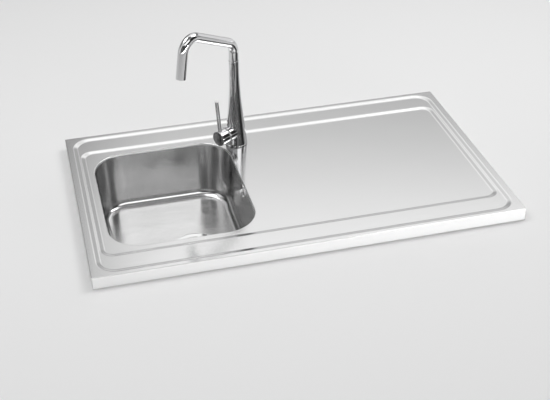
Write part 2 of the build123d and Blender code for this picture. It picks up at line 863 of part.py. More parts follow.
tap_foot = (tap_x, tap_y, deck_z)
tap_axis = Axis(tap_foot, (0, 0, 1))
tap_section = upright(tap_foot, spout_angle)
body_foot = base_seal + base_ring
socket_floor = body_foot + shank_socket_depth
shank_foot = socket_floor - shank_length
bearing_r = stem_r + running_gap + bush_wall
bearing_depth = stem_length + bearing_relief
waterway_foot = handle_height + cartridge_r + waterway_above_cartridge


def tap_r(height):
    """The outer radius of the body's straight taper at a height over the deck."""
    return tap_base_r - tap_taper * height


handle_origin = (tap_x, tap_y, deck_z + handle_height)
handle_section = upright(handle_origin, handle_angle)
handle_out = (cos(radians(handle_angle)), sin(radians(handle_angle)), 0)
handle_axis = Axis(handle_origin, handle_out)
# planes square to the handle's axis, with local Y up
handle_square = Plane(origin=handle_origin, x_dir=(handle_out[1], -handle_out[0], 0), z_dir=handle_out)
# the handle's back is a ball; its middle stands this far out, so that the lip of the fixed
# socket lets the handle lean by its full tilt
pivot = handle_seam + handle_r * sin(radians(handle_tilt + handle_tilt_spare))
socket_ball_r = handle_r + ball_gap

with BuildPart() as tap_body:
    with BuildSketch(tap_section):
        with BuildLine():
            Line((0, body_foot), (tap_r(body_foot), body_foot))
            Line((tap_r(body_foot), body_foot), (tap_r(tap_taper_height), tap_taper_height))
            TangentArc(
                (tap_r(tap_taper_height), tap_taper_height), (tap_top_r, tap_height), tangent=(-tap_taper, 1)
            )
            Line((tap_top_r, tap_height), (0, tap_height))
            Line((0, tap_height), (0, body_foot))
        make_face()
    revolve(axis=tap_axis)
    with BuildSketch(handle_square):
        Circle(handle_r)
    extrude(amount=handle_seam)
    # bearing for the spout, and the waterway up to it
    with BuildSketch(Plane.XY.offset(deck_z + tap_height - bearing_depth)):
        with Locations((tap_x, tap_y)):
            Circle(bearing_r)
    extrude(amount=bearing_depth, mode=Mode.SUBTRACT)
    with BuildSketch(Plane.XY.offset(deck_z + waterway_foot)):
        with Locations((tap_x, tap_y)):
            Circle(stem_bore_r)
    extrude(amount=tap_height - waterway_foot, mode=Mode.SUBTRACT)
    # seat of the cartridge, with a ball-shaped mouth
    with BuildSketch(handle_square.offset(cartridge_depth)):
        Circle(cartridge_r + cartridge_clearance)
    extrude(amount=handle_seam, mode=Mode.SUBTRACT)
    with BuildSketch(handle_section):
        with BuildLine():
            CenterArc((pivot, 0), socket_ball_r, 0, 180)
            Line((pivot - socket_ball_r, 0), (pivot + socket_ball_r, 0))
        make_face()
    revolve(axis=handle_axis, mode=Mode.SUBTRACT)
    # socket for the threaded shank and the two hose inlets above it
    with BuildSketch(Plane.XY.offset(deck_z + body_foot)):
        with Locations((tap_x, tap_y)):
            Circle(shank_r)
    extrude(amount=socket_floor - body_foot, mode=Mode.SUBTRACT)
    with BuildSketch(Plane.XY.offset(deck_z + socket_floor)):
        with Locations((tap_x - inlet_spacing / 2, tap_y), (tap_x + inlet_spacing / 2, tap_y)):
            Circle(inlet_r)
    extrude(amount=inlet_depth, mode=Mode.SUBTRACT)
tap_body.part.label = "tap_body"
export_step(tap_body.part, "parts/tap_body.step")


def tap_washer(name, bottom, thickness, outer_r, inner_r):
    """A flat ring round the tap's axis, at a height over the deck."""
    with BuildPart() as washer:
        with BuildSketch(Plane.XY.offset(deck_z + bottom)):
            with Locations((tap_x, tap_y)):
                Circle(outer_r)
                Circle(inner_r, mode=Mode.SUBTRACT)
        extrude(amount=thickness)
    washer.part.label = name
    export_step(washer.part, "parts/" + name + ".step")


# heights of the fixing, counted down from the deck's top
plate_foot = -sheet - backing_plate
rubber_foot = plate_foot - rubber_washer
steel_foot = rubber_foot - steel_washer
nut_foot = steel_foot - nut_height
washer_bore_r = shank_r + shank_clearance

tap_washer("tap_base_seal", 0, base_seal, tap_base_r - base_seal_inset, tap_hole_r)
tap_washer("tap_rubber_washer", rubber_foot, rubber_washer, rubber_washer_r, washer_bore_r)
tap_washer("tap_steel_washer", steel_foot, steel_washer, steel_washer_r, washer_bore_r)

with BuildPart() as tap_base_ring:
    with BuildSketch(Plane.XY.offset(deck_z + base_seal)):
        with Locations((tap_x, tap_y)):
            Circle(tap_base_r + base_ring_overhang)
            Circle(washer_bore_r, mode=Mode.SUBTRACT)
    extrude(amount=base_ring)
    fillet(tap_base_ring.faces().sort_by(Axis.Z)[-1].edges().sort_by(SortBy.LENGTH)[-1], base_ring_edge_r)
tap_base_ring.part.label = "tap_base_ring"
export_step(tap_base_ring.part, "parts/tap_base_ring.step")

with BuildPart() as tap_backing_plate:
    with BuildSketch(Plane.XY.offset(deck_z + plate_foot)):
        with Locations((tap_x, tap_y)):
            Circle(backing_plate_r)
            Circle(washer_bore_r, mode=Mode.SUBTRACT)
    extrude(amount=backing_plate)
    outer_edge = tap_backing_plate.faces().sort_by(Axis.Z)[0].edges().sort_by(SortBy.LENGTH)[-1]
    chamfer(outer_edge, backing_plate_chamfer)
tap_backing_plate.part.label = "tap_backing_plate"
export_step(tap_backing_plate.part, "parts/tap_backing_plate.step")

with BuildPart() as tap_nut:
    with BuildSketch(Plane.XY.offset(deck_z + nut_foot)):
        with Locations((tap_x, tap_y)):
            RegularPolygon(radius=nut_corner_r, side_count=6)
            Circle(shank_r + thread_clearance, mode=Mode.SUBTRACT)
    extrude(amount=nut_height)
tap_nut.part.label = "tap_nut"
export_step(tap_nut.part, "parts/tap_nut.step")

with BuildPart() as tap_shank:
    with BuildSketch(Plane.XY.offset(deck_z + shank_foot)):
        with Locations((tap_x, tap_y)):
            Circle(shank_r)
            Circle(shank_bore_r, mode=Mode.SUBTRACT)
    extrude(amount=shank_length)
    chamfer(tap_shank.faces().sort_by(Axis.Z)[0].edges().sort_by(SortBy.LENGTH)[-1], shank_chamfer)
tap_shank.part.label = "tap_shank"
export_step(tap_shank.part, "parts/tap_shank.step")

# ---------------------------------------------------------------- spout

spout_foot = tap_height + spout_gap
stem_foot = spout_foot - stem_length
groove_heights = [stem_foot + height for height in (o_ring_height, o_ring_height + o_ring_spacing)]

with BuildPart() as spout_bush:
    with BuildSketch(Plane.XY.offset(deck_z + tap_height - stem_length)):
        with Locations((tap_x, tap_y)):
            Circle(bearing_r)
            Circle(stem_r + running_gap, mode=Mode.SUBTRACT)
    extrude(amount=stem_length - bush_recess)
spout_bush.part.label = "spout_bush"
export_step(spout_bush.part, "parts/spout_bush.step")

with BuildPart() as spout_tube:
    with BuildLine(tap_section) as spout_path:
        FilletPolyline(
            (0, spout_foot),
            (0, spout_riser),
            (spout_reach, spout_peak),
            (spout_tip_reach, spout_tip_height),
            radius=spout_bend_r,
        )
    with BuildSketch(Plane(origin=spout_path.line @ 0, z_dir=spout_path.line % 0)):
        Circle(spout_r)
        Circle(spout_r - spout_wall, mode=Mode.SUBTRACT)
    sweep()
spout_tube.part.label = "spout_tube"
export_step(spout_tube.part, "parts/spout_tube.step")

with BuildPart() as spout_collar:
    with BuildSketch(tap_section):
        with BuildLine():
            outline(
                (spout_r, spout_foot),
                (tap_top_r, spout_foot),
                (tap_top_r, spout_foot + collar_height, collar_edge_r),
                (spout_r, spout_foot + collar_height),
            )
        make_face()
    revolve(axis=tap_axis)
spout_collar.part.label = "spout_collar"
export_step(spout_collar.part, "parts/spout_collar.step")

with BuildPart() as spout_stem:
    with BuildSketch(tap_section):
        with BuildLine():
            outline(
                (stem_bore_r, stem_foot),
                (stem_r, stem_foot, stem_edge_r),
                (stem_r, spout_foot),
                (spout_r - spout_wall, spout_foot),
                (spout_r - spout_wall, spout_foot + stem_plug),
                (stem_bore_r, spout_foot + stem_plug),
            )
        make_face()
    revolve(axis=tap_axis)
    for height in groove_heights:
        with BuildSketch(Plane.XY.offset(deck_z + height - o_ring_r)):
            with Locations((tap_x, tap_y)):
                Circle(stem_r)
                Circle(stem_r - 2 * o_ring_r, mode=Mode.SUBTRACT)
        extrude(amount=2 * o_ring_r, mode=Mode.SUBTRACT)
spout_stem.part.label = "spout_stem"
export_step(spout_stem.part, "parts/spout_stem.step")

with BuildPart() as spout_o_rings:
    with BuildSketch(tap_section):
        with Locations([(stem_r - o_ring_r, height) for height in groove_heights]):
            Circle(o_ring_r)
    revolve(axis=tap_axis)
spout_o_rings.part.label = "spout_o_rings"
export_step(spout_o_rings.part, "parts/spout_o_rings.step")

tip_plane = Plane(origin=spout_path.line @ 1, z_dir=-(spout_path.line % 1))
aerator_r = spout_r - spout_wall

with BuildPart() as aerator_housing:
    with BuildSketch(tip_plane):
        Circle(aerator_r)
        Circle(aerator_r - aerator_wall, mode=Mode.SUBTRACT)
    extrude(amount=aerator_length)
aerator_housing.part.label = "aerator_housing"
export_step(aerator_housing.part, "parts/aerator_housing.step")

with BuildPart() as aerator_insert:
    with BuildSketch(tip_plane.offset(aerator_recess)):
        Circle(aerator_r - aerator_wall)
        for ring_r in (aerator_hole_ring_r, aerator_hole_ring_r + aerator_hole_ring_step):
            with PolarLocations(ring_r, round(2 * pi * ring_r / aerator_hole_pitch)):
                Circle(aerator_hole_r, mode=Mode.SUBTRACT)
    extrude(amount=aerator_length - aerator_recess)
aerator_insert.part.label = "aerator_insert"
export_step(aerator_insert.part, "parts/aerator_insert.step")

# ---------------------------------------------------------------- handle and cartridge

# places along the handle's axis
nut_seat = cartridge_depth + cartridge_base
nut_front = nut_seat + cartridge_nut
neck_front = nut_seat + cartridge_neck
cartridge_front = pivot + cartridge_past_pivot
selector_back = nut_seat + selector_seat
dome_back = pivot - dome_behind_pivot
dome_front = pivot + dome_before_pivot
boss_back = pivot + handle_boss_back
slot_floor = selector_back + selector_end_gap + selector_floor
# the stem's square end swings round the pivot clear of the slot's floor
stem_swing = pivot - slot_floor - selector_slot_clearance
stem_back = pivot - sqrt(stem_swing**2 - handle_stem_r**2)
stem_tip = handle_face - handle_stem_cover
grub_place = stem_tip - grub_from_tip
skirt_back = pivot - handle_r * sin(radians(handle_skirt))

dome_outer_r = handle_r - handle_wall - ball_gap
dome_inner_r = dome_outer_r - dome_wall
skirt_in_r = handle_r - handle_wall
nut_inner_r = cartridge_neck_r + cartridge_clearance / 2
nut_nose_r = cartridge_r - cartridge_nut_relief
slot_width = 2 * (handle_stem_r + selector_slot_clearance)
pivot_plane = Plane(
    origin=handle_section.from_local_coords(Vector(pivot, 0, 0)), x_dir=handle_out, z_dir=handle_section.z_dir
)


def on_ball(ball_r, place):
    """The radius of a ball round the pivot where it is cut square at a place on the axis."""
    return sqrt(ball_r**2 - (place - pivot) ** 2)


with BuildPart() as cartridge:
    with BuildSketch(handle_section):
        with BuildLine():
            outline(
                (cartridge_depth, 0),
                (cartridge_depth, cartridge_r),
                (nut_seat, cartridge_r),
                (nut_seat, cartridge_neck_r),
                (neck_front, cartridge_neck_r),
                (neck_front, cartridge_nose_r),
                (cartridge_front, cartridge_nose_r),
                (cartridge_front, selector_r + running_gap),
                (selector_back, selector_r + running_gap),
                (selector_back, 0),
            )
        make_face()
    revolve(axis=handle_axis)
cartridge.part.label = "cartridge"
export_step(cartridge.part, "parts/cartridge.step")

with BuildPart() as cartridge_nut:
    with BuildSketch(handle_section):
        with BuildLine():
            outline(
                (nut_seat, nut_inner_r),
                (nut_seat, cartridge_r),
                (nut_seat + cartridge_nut_flange, cartridge_r),
                (nut_seat + cartridge_nut_flange, nut_nose_r),
                (nut_front, nut_nose_r),
                (nut_front, nut_inner_r),
            )
        make_face()
    revolve(axis=handle_axis)
cartridge_nut.part.label = "cartridge_nut"
export_step(cartridge_nut.part, "parts/cartridge_nut.step")

with BuildPart() as cartridge_dome:
    with BuildSketch(handle_section):
        with BuildLine():
            back = (dome_back, on_ball(dome_outer_r, dome_back))
            front = (dome_front, on_ball(dome_outer_r, dome_front))
            front_in = (dome_front, on_ball(dome_inner_r, dome_front))
            nut_side_in = (nut_front, on_ball(dome_inner_r, nut_front))
            nut_corner = (nut_front, nut_nose_r)
            back_in = (dome_back, nut_nose_r)
            RadiusArc(back, front, dome_outer_r)
            Line(front, front_in)
            RadiusArc(front_in, nut_side_in, -dome_inner_r)
            Line(nut_side_in, nut_corner)
            Line(nut_corner, back_in)
            Line(back_in, back)
        make_face()
    revolve(axis=handle_axis)
cartridge_dome.part.label = "cartridge_dome"
export_step(cartridge_dome.part, "parts/cartridge_dome.step")

with BuildPart() as selector:
    with BuildSketch(handle_square.offset(selector_back + selector_end_gap)):
        Circle(selector_r)
    extrude(amount=cartridge_front - selector_back - selector_end_gap)
    with BuildSketch(handle_square.offset(slot_floor)):
        Rectangle(slot_width, 2 * selector_r)
    extrude(amount=cartridge_front, mode=Mode.SUBTRACT)
    with BuildSketch(pivot_plane.offset(-selector_r)):
        Circle(pin_r)
    extrude(amount=2 * selector_r, mode=Mode.SUBTRACT)
selector.part.label = "selector"
export_step(selector.part, "parts/selector.step")

with BuildPart() as pivot_pin:
    with BuildSketch(pivot_plane.offset(pin_inset - selector_r)):
        Circle(pin_r)
    extrude(amount=2 * (selector_r - pin_inset))
pivot_pin.part.label = "pivot_pin"
export_step(pivot_pin.part, "parts/pivot_pin.step")

with BuildPart() as handle_stem:
    with BuildSketch(handle_square.offset(stem_back)):
        Circle(handle_stem_r)
    extrude(amount=stem_tip - stem_back)
    with BuildSketch(pivot_plane.offset(-2 * handle_stem_r)):
        Circle(pin_r + running_gap)
    extrude(amount=4 * handle_stem_r, mode=Mode.SUBTRACT)
handle_stem.part.label = "handle_stem"
export_step(handle_stem.part, "parts/handle_stem.step")

lean = radians(lever_lean)
lever_plane = Plane(
    origin=handle_section.from_local_coords(Vector(lever_place, handle_r, 0)),
    z_dir=(handle_out[0] * sin(lean), handle_out[1] * sin(lean), cos(lean)),
)
grub_x = tap_x + handle_out[0] * grub_place
grub_y = tap_y + handle_out[1] * grub_place

with BuildPart() as handle_cap:
    with BuildSketch(handle_section):
        with BuildLine():
            skirt_edge = (skirt_back, on_ball(handle_r, skirt_back))
            skirt_edge_in = (skirt_back, on_ball(skirt_in_r, skirt_back))
            RadiusArc(skirt_edge, (pivot, handle_r), handle_r)
            Line((pivot, handle_r), (handle_face, handle_r))
            Line((handle_face, handle_r), (handle_face, 0))
            Line((handle_face, 0), (boss_back, 0))
            Line((boss_back, 0), (boss_back, skirt_in_r))
            Line((boss_back, skirt_in_r), (pivot, skirt_in_r))
            RadiusArc((pivot, skirt_in_r), skirt_edge_in, -skirt_in_r)
            Line(skirt_edge_in, skirt_edge)
        make_face()
    revolve(axis=handle_axis)
    fillet(handle_cap.faces().sort_by(handle_axis)[-1].edges(), handle_edge_r)
    with BuildSketch(handle_square.offset(boss_back)):
        Circle(handle_stem_r + thread_clearance)
    extrude(amount=stem_tip - boss_back, mode=Mode.SUBTRACT)
    with BuildSketch(lever_plane.offset(-lever_socket)):
        Circle(lever_r + thread_clearance)
    extrude(amount=2 * lever_socket, mode=Mode.SUBTRACT)
    with BuildSketch(Plane.XY.offset(deck_z + handle_height - handle_r)):
        with Locations((grub_x, grub_y)):
            Circle(grub_r)
    extrude(amount=handle_r, mode=Mode.SUBTRACT)
handle_cap.part.label = "handle_cap"
export_step(handle_cap.part, "parts/handle_cap.step")

with BuildPart() as grub_screw:
    with BuildSketch(Plane.XY.offset(deck_z + handle_height - handle_stem_r - grub_length)):
        with Locations((grub_x, grub_y)):
            Circle(grub_r - thread_clearance)
    extrude(amount=grub_length)
    with BuildSketch(Plane.XY.offset(deck_z + handle_height - handle_stem_r - grub_length)):
        with Locations((grub_x, grub_y)):
            RegularPolygon(radius=grub_hex_r, side_count=6)
    extrude(amount=grub_hex_depth, mode=Mode.SUBTRACT)
grub_screw.part.label = "grub_screw"
export_step(grub_screw.part, "parts/grub_screw.step")

with BuildPart() as lever:
    with BuildSketch(lever_plane.offset(-lever_socket)):
        Circle(lever_r)
    extrude(amount=lever_socket + lever_above)
    fillet(lever.faces().sort_by(Axis.Z)[-1].edges(), lever_edge_r)
lever.part.label = "lever"
export_step(lever.part, "parts/lever.step")
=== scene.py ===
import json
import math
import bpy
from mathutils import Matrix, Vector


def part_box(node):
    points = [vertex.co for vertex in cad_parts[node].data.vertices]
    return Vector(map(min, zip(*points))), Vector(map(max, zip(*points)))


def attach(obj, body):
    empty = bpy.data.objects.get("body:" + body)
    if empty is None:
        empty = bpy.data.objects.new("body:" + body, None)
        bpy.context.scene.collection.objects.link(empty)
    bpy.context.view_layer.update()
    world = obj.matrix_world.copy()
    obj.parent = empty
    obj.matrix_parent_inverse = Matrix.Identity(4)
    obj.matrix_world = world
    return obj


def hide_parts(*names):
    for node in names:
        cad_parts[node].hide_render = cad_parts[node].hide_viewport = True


bl_info = {
    "name": "Lay-on kitchen sink",
    "version": (1, 0, 0),
    "blender": (4, 5, 0),
    "location": "3D View > Sidebar > Sink",
    "description": "Gives the packed kitchen sink its sheet steel, its finishes and its studio",
    "category": "Object",
}

from typing import NamedTuple

import bmesh
import bpy
from bpy.props import FloatProperty, FloatVectorProperty, PointerProperty, StringProperty
from mathutils import Matrix, Vector

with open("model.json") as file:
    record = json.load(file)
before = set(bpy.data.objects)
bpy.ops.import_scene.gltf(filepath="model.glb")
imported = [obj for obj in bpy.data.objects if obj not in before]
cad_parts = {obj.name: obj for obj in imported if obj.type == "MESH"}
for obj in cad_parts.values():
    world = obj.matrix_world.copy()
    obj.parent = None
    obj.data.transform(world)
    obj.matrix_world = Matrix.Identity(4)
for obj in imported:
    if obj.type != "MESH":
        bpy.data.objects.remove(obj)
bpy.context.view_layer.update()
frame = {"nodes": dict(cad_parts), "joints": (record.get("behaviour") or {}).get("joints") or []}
NODES = frame["nodes"]
JOINTS = {joint["name"]: joint for joint in frame["joints"]}
MM = 0.001

TOP_LOW, TOP_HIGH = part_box("sink_top")
TOP_MIDDLE = (TOP_LOW + TOP_HIGH) / 2
TOP_LENGTH, TOP_WIDTH = (TOP_HIGH - TOP_LOW)[:2]
BOWL_LOW, BOWL_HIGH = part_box("bowl")
BOWL_MIDDLE = (BOWL_LOW + BOWL_HIGH) / 2
CUP_LOW, CUP_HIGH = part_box("strainer_cup")
DRAIN = (CUP_LOW + CUP_HIGH) / 2
TAP_AXIS = Vector(JOINTS["spout_swivel"]["pos_m"])

# directions along the sink, towards the drainboard, and from its front to its back
ALONG = Vector((1, 0, 0))
BACK = Vector((0, 1, 0))


# ---------------------------------------------------------------- sizes and colours


class SinkSizes(bpy.types.PropertyGroup):
    """The pressed top and its bowl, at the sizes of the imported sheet."""

    sheet: FloatProperty(name="Sheet", description="Thickness of the steel", default=0.8 * MM, unit="LENGTH")
    corner: FloatProperty(name="Corner", description="Plan radius of the top", default=3 * MM, unit="LENGTH")
    fold: FloatProperty(
        name="Fold", description="Bend where the rim turns down", default=1.8 * MM, unit="LENGTH"
    )
    flange: FloatProperty(
        name="Flange", description="Turned-in foot of the lip", default=12 * MM, unit="LENGTH"
    )
    rim_side: FloatProperty(
        name="Rim side", description="Flat rim at the ends", default=17 * MM, unit="LENGTH"
    )
    rim_front: FloatProperty(
        name="Rim front", description="Flat rim along the front and back", default=12.5 * MM, unit="LENGTH"
    )
    ledge_side: FloatProperty(
        name="Ledge side", description="Ledge at the ends", default=4.5 * MM, unit="LENGTH"
    )
    ledge_front: FloatProperty(
        name="Ledge front", description="Ledge along the front and back", default=50.5 * MM, unit="LENGTH"
    )
    step_run: FloatProperty(
        name="Step run", description="Plan width of a pressed step", default=9.5 * MM, unit="LENGTH"
    )
    step_drop: FloatProperty(
        name="Step drop", description="Height of a pressed step", default=3 * MM, unit="LENGTH"
    )
    step_blend: FloatProperty(
        name="Step blend", description="Soft bend of a step", default=12 * MM, unit="LENGTH"
    )
    upper_corner: FloatProperty(
        name="Upper corner", description="Plan radius of the upper step", default=44 * MM, unit="LENGTH"
    )
    lower_corner: FloatProperty(
        name="Lower corner", description="Plan radius of the lower step", default=30 * MM, unit="LENGTH"
    )
    bowl_corner: FloatProperty(
        name="Bowl corner", description="Plan radius of the bowl", default=78 * MM, unit="LENGTH"
    )
    bowl_bottom: FloatProperty(
        name="Bowl bottom", description="Bend from wall to floor", default=18 * MM, unit="LENGTH"
    )
    bowl_edge: FloatProperty(
        name="Bowl edge", description="Bend from deck to bowl", default=2 * MM, unit="LENGTH"
    )
    collar: FloatProperty(
        name="Collar", description="Depth of the deck's collar", default=5 * MM, unit="LENGTH"
    )
    draft: FloatProperty(
        name="Draft", description="Lean of the bowl's walls", default=math.radians(2.5), subtype="ANGLE"
    )
    recess: FloatProperty(
        name="Recess", description="Radius of the waste's recess", default=58 * MM, unit="LENGTH"
    )
    recess_depth: FloatProperty(
        name="Recess depth", description="Depth of the waste's recess", default=2.6 * MM, unit="LENGTH"
    )
    recess_brink: FloatProperty(
        name="Recess brink", description="Bend from floor to recess", default=1 * MM, unit="LENGTH"
    )
    recess_root: FloatProperty(
        name="Recess root", description="Bend at the recess's bottom", default=0.6 * MM, unit="LENGTH"
    )
    overflow_y: FloatProperty(
        name="Overflow y", description="Place of the overflow along the wall", default=-6 * MM, unit="LENGTH"
    )
    overflow_drop: FloatProperty(
        name="Overflow drop", description="Overflow below the deck", default=24 * MM, unit="LENGTH"
    )
    overflow_hole: FloatProperty(
        name="Overflow hole", description="Radius of the overflow's hole", default=14 * MM, unit="LENGTH"
    )
    waste_hole: FloatProperty(
        name="Waste hole", description="Radius of the waste's hole", default=45 * MM, unit="LENGTH"
    )
    tap_hole: FloatProperty(
        name="Tap hole", description="Radius of the tap's hole", default=17.5 * MM, unit="LENGTH"
    )


class StageSettings(bpy.types.PropertyGroup):
    """The camera of the photograph and the plain studio round the sink."""

    azimuth: FloatProperty(
        name="Azimuth", description="Plan angle of the view", default=math.radians(-14.342), subtype="ANGLE"
    )
    elevation: FloatProperty(
        name="Elevation", description="Angle above the level", default=math.radians(33.745), subtype="ANGLE"
    )
    roll: FloatProperty(
        name="Roll", description="Tilt of the picture", default=math.radians(-0.473), subtype="ANGLE"
    )
    lens: FloatProperty(name="Lens", description="Focal length", default=68.82, unit="CAMERA")
    sensor: FloatProperty(name="Sensor", description="Width of the sensor", default=36.0, unit="CAMERA")
    place: FloatVectorProperty(
        name="Place",
        description="Where the camera stands",
        default=(-0.55655, -2.0921, 1.3940),
        subtype="XYZ",
        unit="LENGTH",
    )
    floor_size: FloatProperty(name="Floor", description="Side of the floor", default=20.0, unit="LENGTH")
    floor_corner: FloatProperty(
        name="Floor corner", description="Plan radius of the floor", default=2.5, unit="LENGTH"
    )
    floor_gap: FloatProperty(
        name="Floor gap", description="Floor below the lip's foot", default=0.3 * MM, unit="LENGTH"
    )
    floor_colour: StringProperty(name="Floor colour", description="sRGB hex of the floor", default="#E8E8E8")
    lamp_size: FloatProperty(
        name="Lamp size", description="Side of each soft lamp", default=1.2, unit="LENGTH"
    )
    left_lamp: FloatVectorProperty(
        name="Left lamp",
        description="Where the left lamp hangs",
        default=(-1.0, 0.4, 2.3),
        subtype="XYZ",
        unit="LENGTH",
    )
    left_power: FloatProperty(
        name="Left power", description="Power of the left lamp", default=15.0, unit="POWER"
    )
    right_lamp: FloatVectorProperty(
        name="Right lamp",
        description="Where the right lamp hangs",
        default=(1.4, 0.4, 2.3),
        subtype="XYZ",
        unit="LENGTH",
    )
    right_power: FloatProperty(
        name="Right power", description="Power of the right lamp", default=19.0, unit="POWER"
    )


class FinishColours(bpy.types.PropertyGroup):
    """sRGB colours of the materials, as hex."""

    satin_steel: StringProperty(name="Satin steel", description="Pressed top", default="#DEDEDE")
    polished_steel: StringProperty(name="Polished steel", description="Bowl and waste", default="#DCDCDC")
    chrome: StringProperty(name="Chrome", description="Tap", default="#D2D2D3")
    spruce: StringProperty(name="Spruce", description="Battens", default="#D9BF93")
    spruce_grain: StringProperty(
        name="Spruce grain", description="Dark bands of the wood", default="#B08B57"
    )
    zinc: StringProperty(name="Zinc", description="Galvanised sheet", default="#B9BCBE")
    bitumen: StringProperty(name="Bitumen", description="Damping pads", default="#2B2B2D")
    rubber: StringProperty(name="Rubber", description="Seals", default="#1B1B1C")
    polypropylene: StringProperty(name="Polypropylene", description="Waste fittings", default="#ECECE8")
    acetal: StringProperty(name="Acetal", description="Tap's inner mouldings", default="#8A8D90")
    brass: StringProperty(name="Brass", description="Turned brass", default="#D9BE7C")


# ---------------------------------------------------------------- geometry helpers


def arc_path(corners, pieces=6):
    """A path through corners (a, b) or (a, b, radius): each corner with a radius becomes an arc.

    An end corner gives the arc next to it its direction, and a caller drops one that is there for that alone.
    """
    points = []
    for index, corner in enumerate(corners):
        here = Vector(corner[:2])
        radius = corner[2] if len(corner) > 2 else 0
        if radius <= 0:
            points.append(here)
            continue
        back = (Vector(corners[index - 1][:2]) - here).normalized()
        ahead = (Vector(corners[index + 1][:2]) - here).normalized()
        half = back.angle(ahead) / 2
        centre = here + (back + ahead).normalized() * (radius / math.sin(half))
        start = here + back * (radius / math.tan(half)) - centre
        end = here + ahead * (radius / math.tan(half)) - centre
        turn = start.angle_signed(end)
        for step in range(pieces + 1):
            angle = -turn * step / pieces
            points.append(centre + Matrix.Rotation(angle, 2) @ start)
    return points


def corner_ring(centre, length, width, radius, height, pieces=16):
    """A rounded rectangle as a ring of points at a height, with the same count of points for any radius."""
    ring = []
    for corner in range(4):
        side_x = 1 if corner in (0, 3) else -1
        side_y = 1 if corner < 2 else -1
        mid_x = centre.x + side_x * (length / 2 - radius)
        mid_y = centre.y + side_y * (width / 2 - radius)
        for step in range(pieces + 1):
            angle = math.pi / 2 * (corner + step / pieces)
            ring.append(Vector((mid_x + radius * math.cos(angle), mid_y + radius * math.sin(angle), height)))
    return ring


def inset_rings(centre, length, width, radius, path):
    """Rings for a path of (inset, height) points, each drawn in from one rounded rectangle."""
    return [
        corner_ring(centre, length - 2 * inset, width - 2 * inset, radius - inset, height)
        for inset, height in path
    ]


def circle_ring(centre, radius, across, up, pieces=96):
    """A circle as a ring of points in the plane of two directions."""
    turns = (2 * math.pi * step / pieces for step in range(pieces))
    return [centre + radius * (math.cos(turn) * across + math.sin(turn) * up) for turn in turns]


def add_ring(mesh, ring):
    """Adds a vertex for each point of a ring."""
    return [mesh.verts.new(point) for point in ring]


def bridge(mesh, rings):
    """Adds faces between neighbouring rings of vertices."""
    for low, high in zip(rings, rings[1:]):
        for index in range(len(low)):
            mesh.faces.new((low[index - 1], low[index], high[index], high[index - 1]))


def skin(mesh, rings):
    """Adds rings of points and the faces between them, and returns the rings' vertices."""
    made = [add_ring(mesh, ring) for ring in rings]
    bridge(mesh, made)
    return made


def fill_flat(mesh, *rings):
    """Fills the flat area between rings of vertices."""
    edges = []
    for ring in rings:
        for index in range(len(ring)):
            ends = (ring[index - 1], ring[index])
            edges.append(mesh.edges.get(ends) or mesh.edges.new(ends))
    bmesh.ops.triangle_fill(mesh, edges=edges, use_beauty=True)


# a face counts as upright where its normal leans this far out
UPRIGHT = 0.7


def unfold(data, name, top):
    """Lays the sheet out flat as a UV map in metres, with its lip folded out and U along X."""
    layer = data.uv_layers.new(name=name)
    for face in data.polygons:
        normal = face.normal
        for corner in face.loop_indices:
            place = data.vertices[data.loops[corner].vertex_index].co
            drop = top - place.z
            over_x = math.copysign(drop, normal.x) if abs(normal.x) > UPRIGHT else 0.0
            over_y = math.copysign(drop, normal.y) if abs(normal.y) > UPRIGHT else 0.0
            layer.data[corner].uv = (place.x + over_x, place.y + over_y)


# vertices closer than this are one, and an edge that turns by more than this angle looks crisp
WELD = 0.001 * MM
CRISP_EDGE = math.radians(35)


def finished(mesh, name, body, stands_for, material):
    """Turns mesh data into a shaded piece that rides on a body and stands for CAD nodes."""
    bmesh.ops.remove_doubles(mesh, verts=mesh.verts[:], dist=WELD)
    bmesh.ops.recalc_face_normals(mesh, faces=mesh.faces[:])
    data = bpy.data.meshes.new(name)
    mesh.to_mesh(data)
    mesh.free()
    data.shade_smooth()
    data.set_sharp_from_angle(angle=CRISP_EDGE)
    data.materials.append(material)
    piece = bpy.data.objects.new(name, data)
    bpy.context.scene.collection.objects.link(piece)
    # the flats stay flat right up to their bends
    flats = piece.modifiers.new("flats", "WEIGHTED_NORMAL")
    flats.keep_sharp = True
    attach(piece, body)
    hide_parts(*stands_for)
    return piece


# ---------------------------------------------------------------- materials


# the middle of a noise's range, which holds nearly all of its values
NOISE_SPREAD = {"From Min": 0.3, "From Max": 0.7}


def linear(hex_colour):
    """An sRGB hex colour as linear RGBA."""
    channels = [int(hex_colour[place : place + 2], 16) / 255 for place in (1, 3, 5)]
    straight = [c / 12.92 if c <= 0.04045 else ((c + 0.055) / 1.055) ** 2.4 for c in channels]
    return (*straight, 1.0)


def per_mm(size):
    """The scale of a pattern whose features are that many millimetres apart."""
    return 1 / (size * MM)


def add_node(tree, kind, sockets, **settings):
    """Adds a node with its settings, and sets each named socket or links it to the socket given."""
    node = tree.nodes.new(kind)
    for name, value in settings.items():
        setattr(node, name, value)
    for name, value in sockets.items():
        if isinstance(value, bpy.types.NodeSocket):
            tree.links.new(value, node.inputs[name])
        else:
            node.inputs[name].default_value = value
    return node


def new_material(name):
    """A material, and its node tree with nothing in it."""
    material = bpy.data.materials.new(name)
    material.use_nodes = True
    material.node_tree.nodes.clear()
    return material, material.node_tree


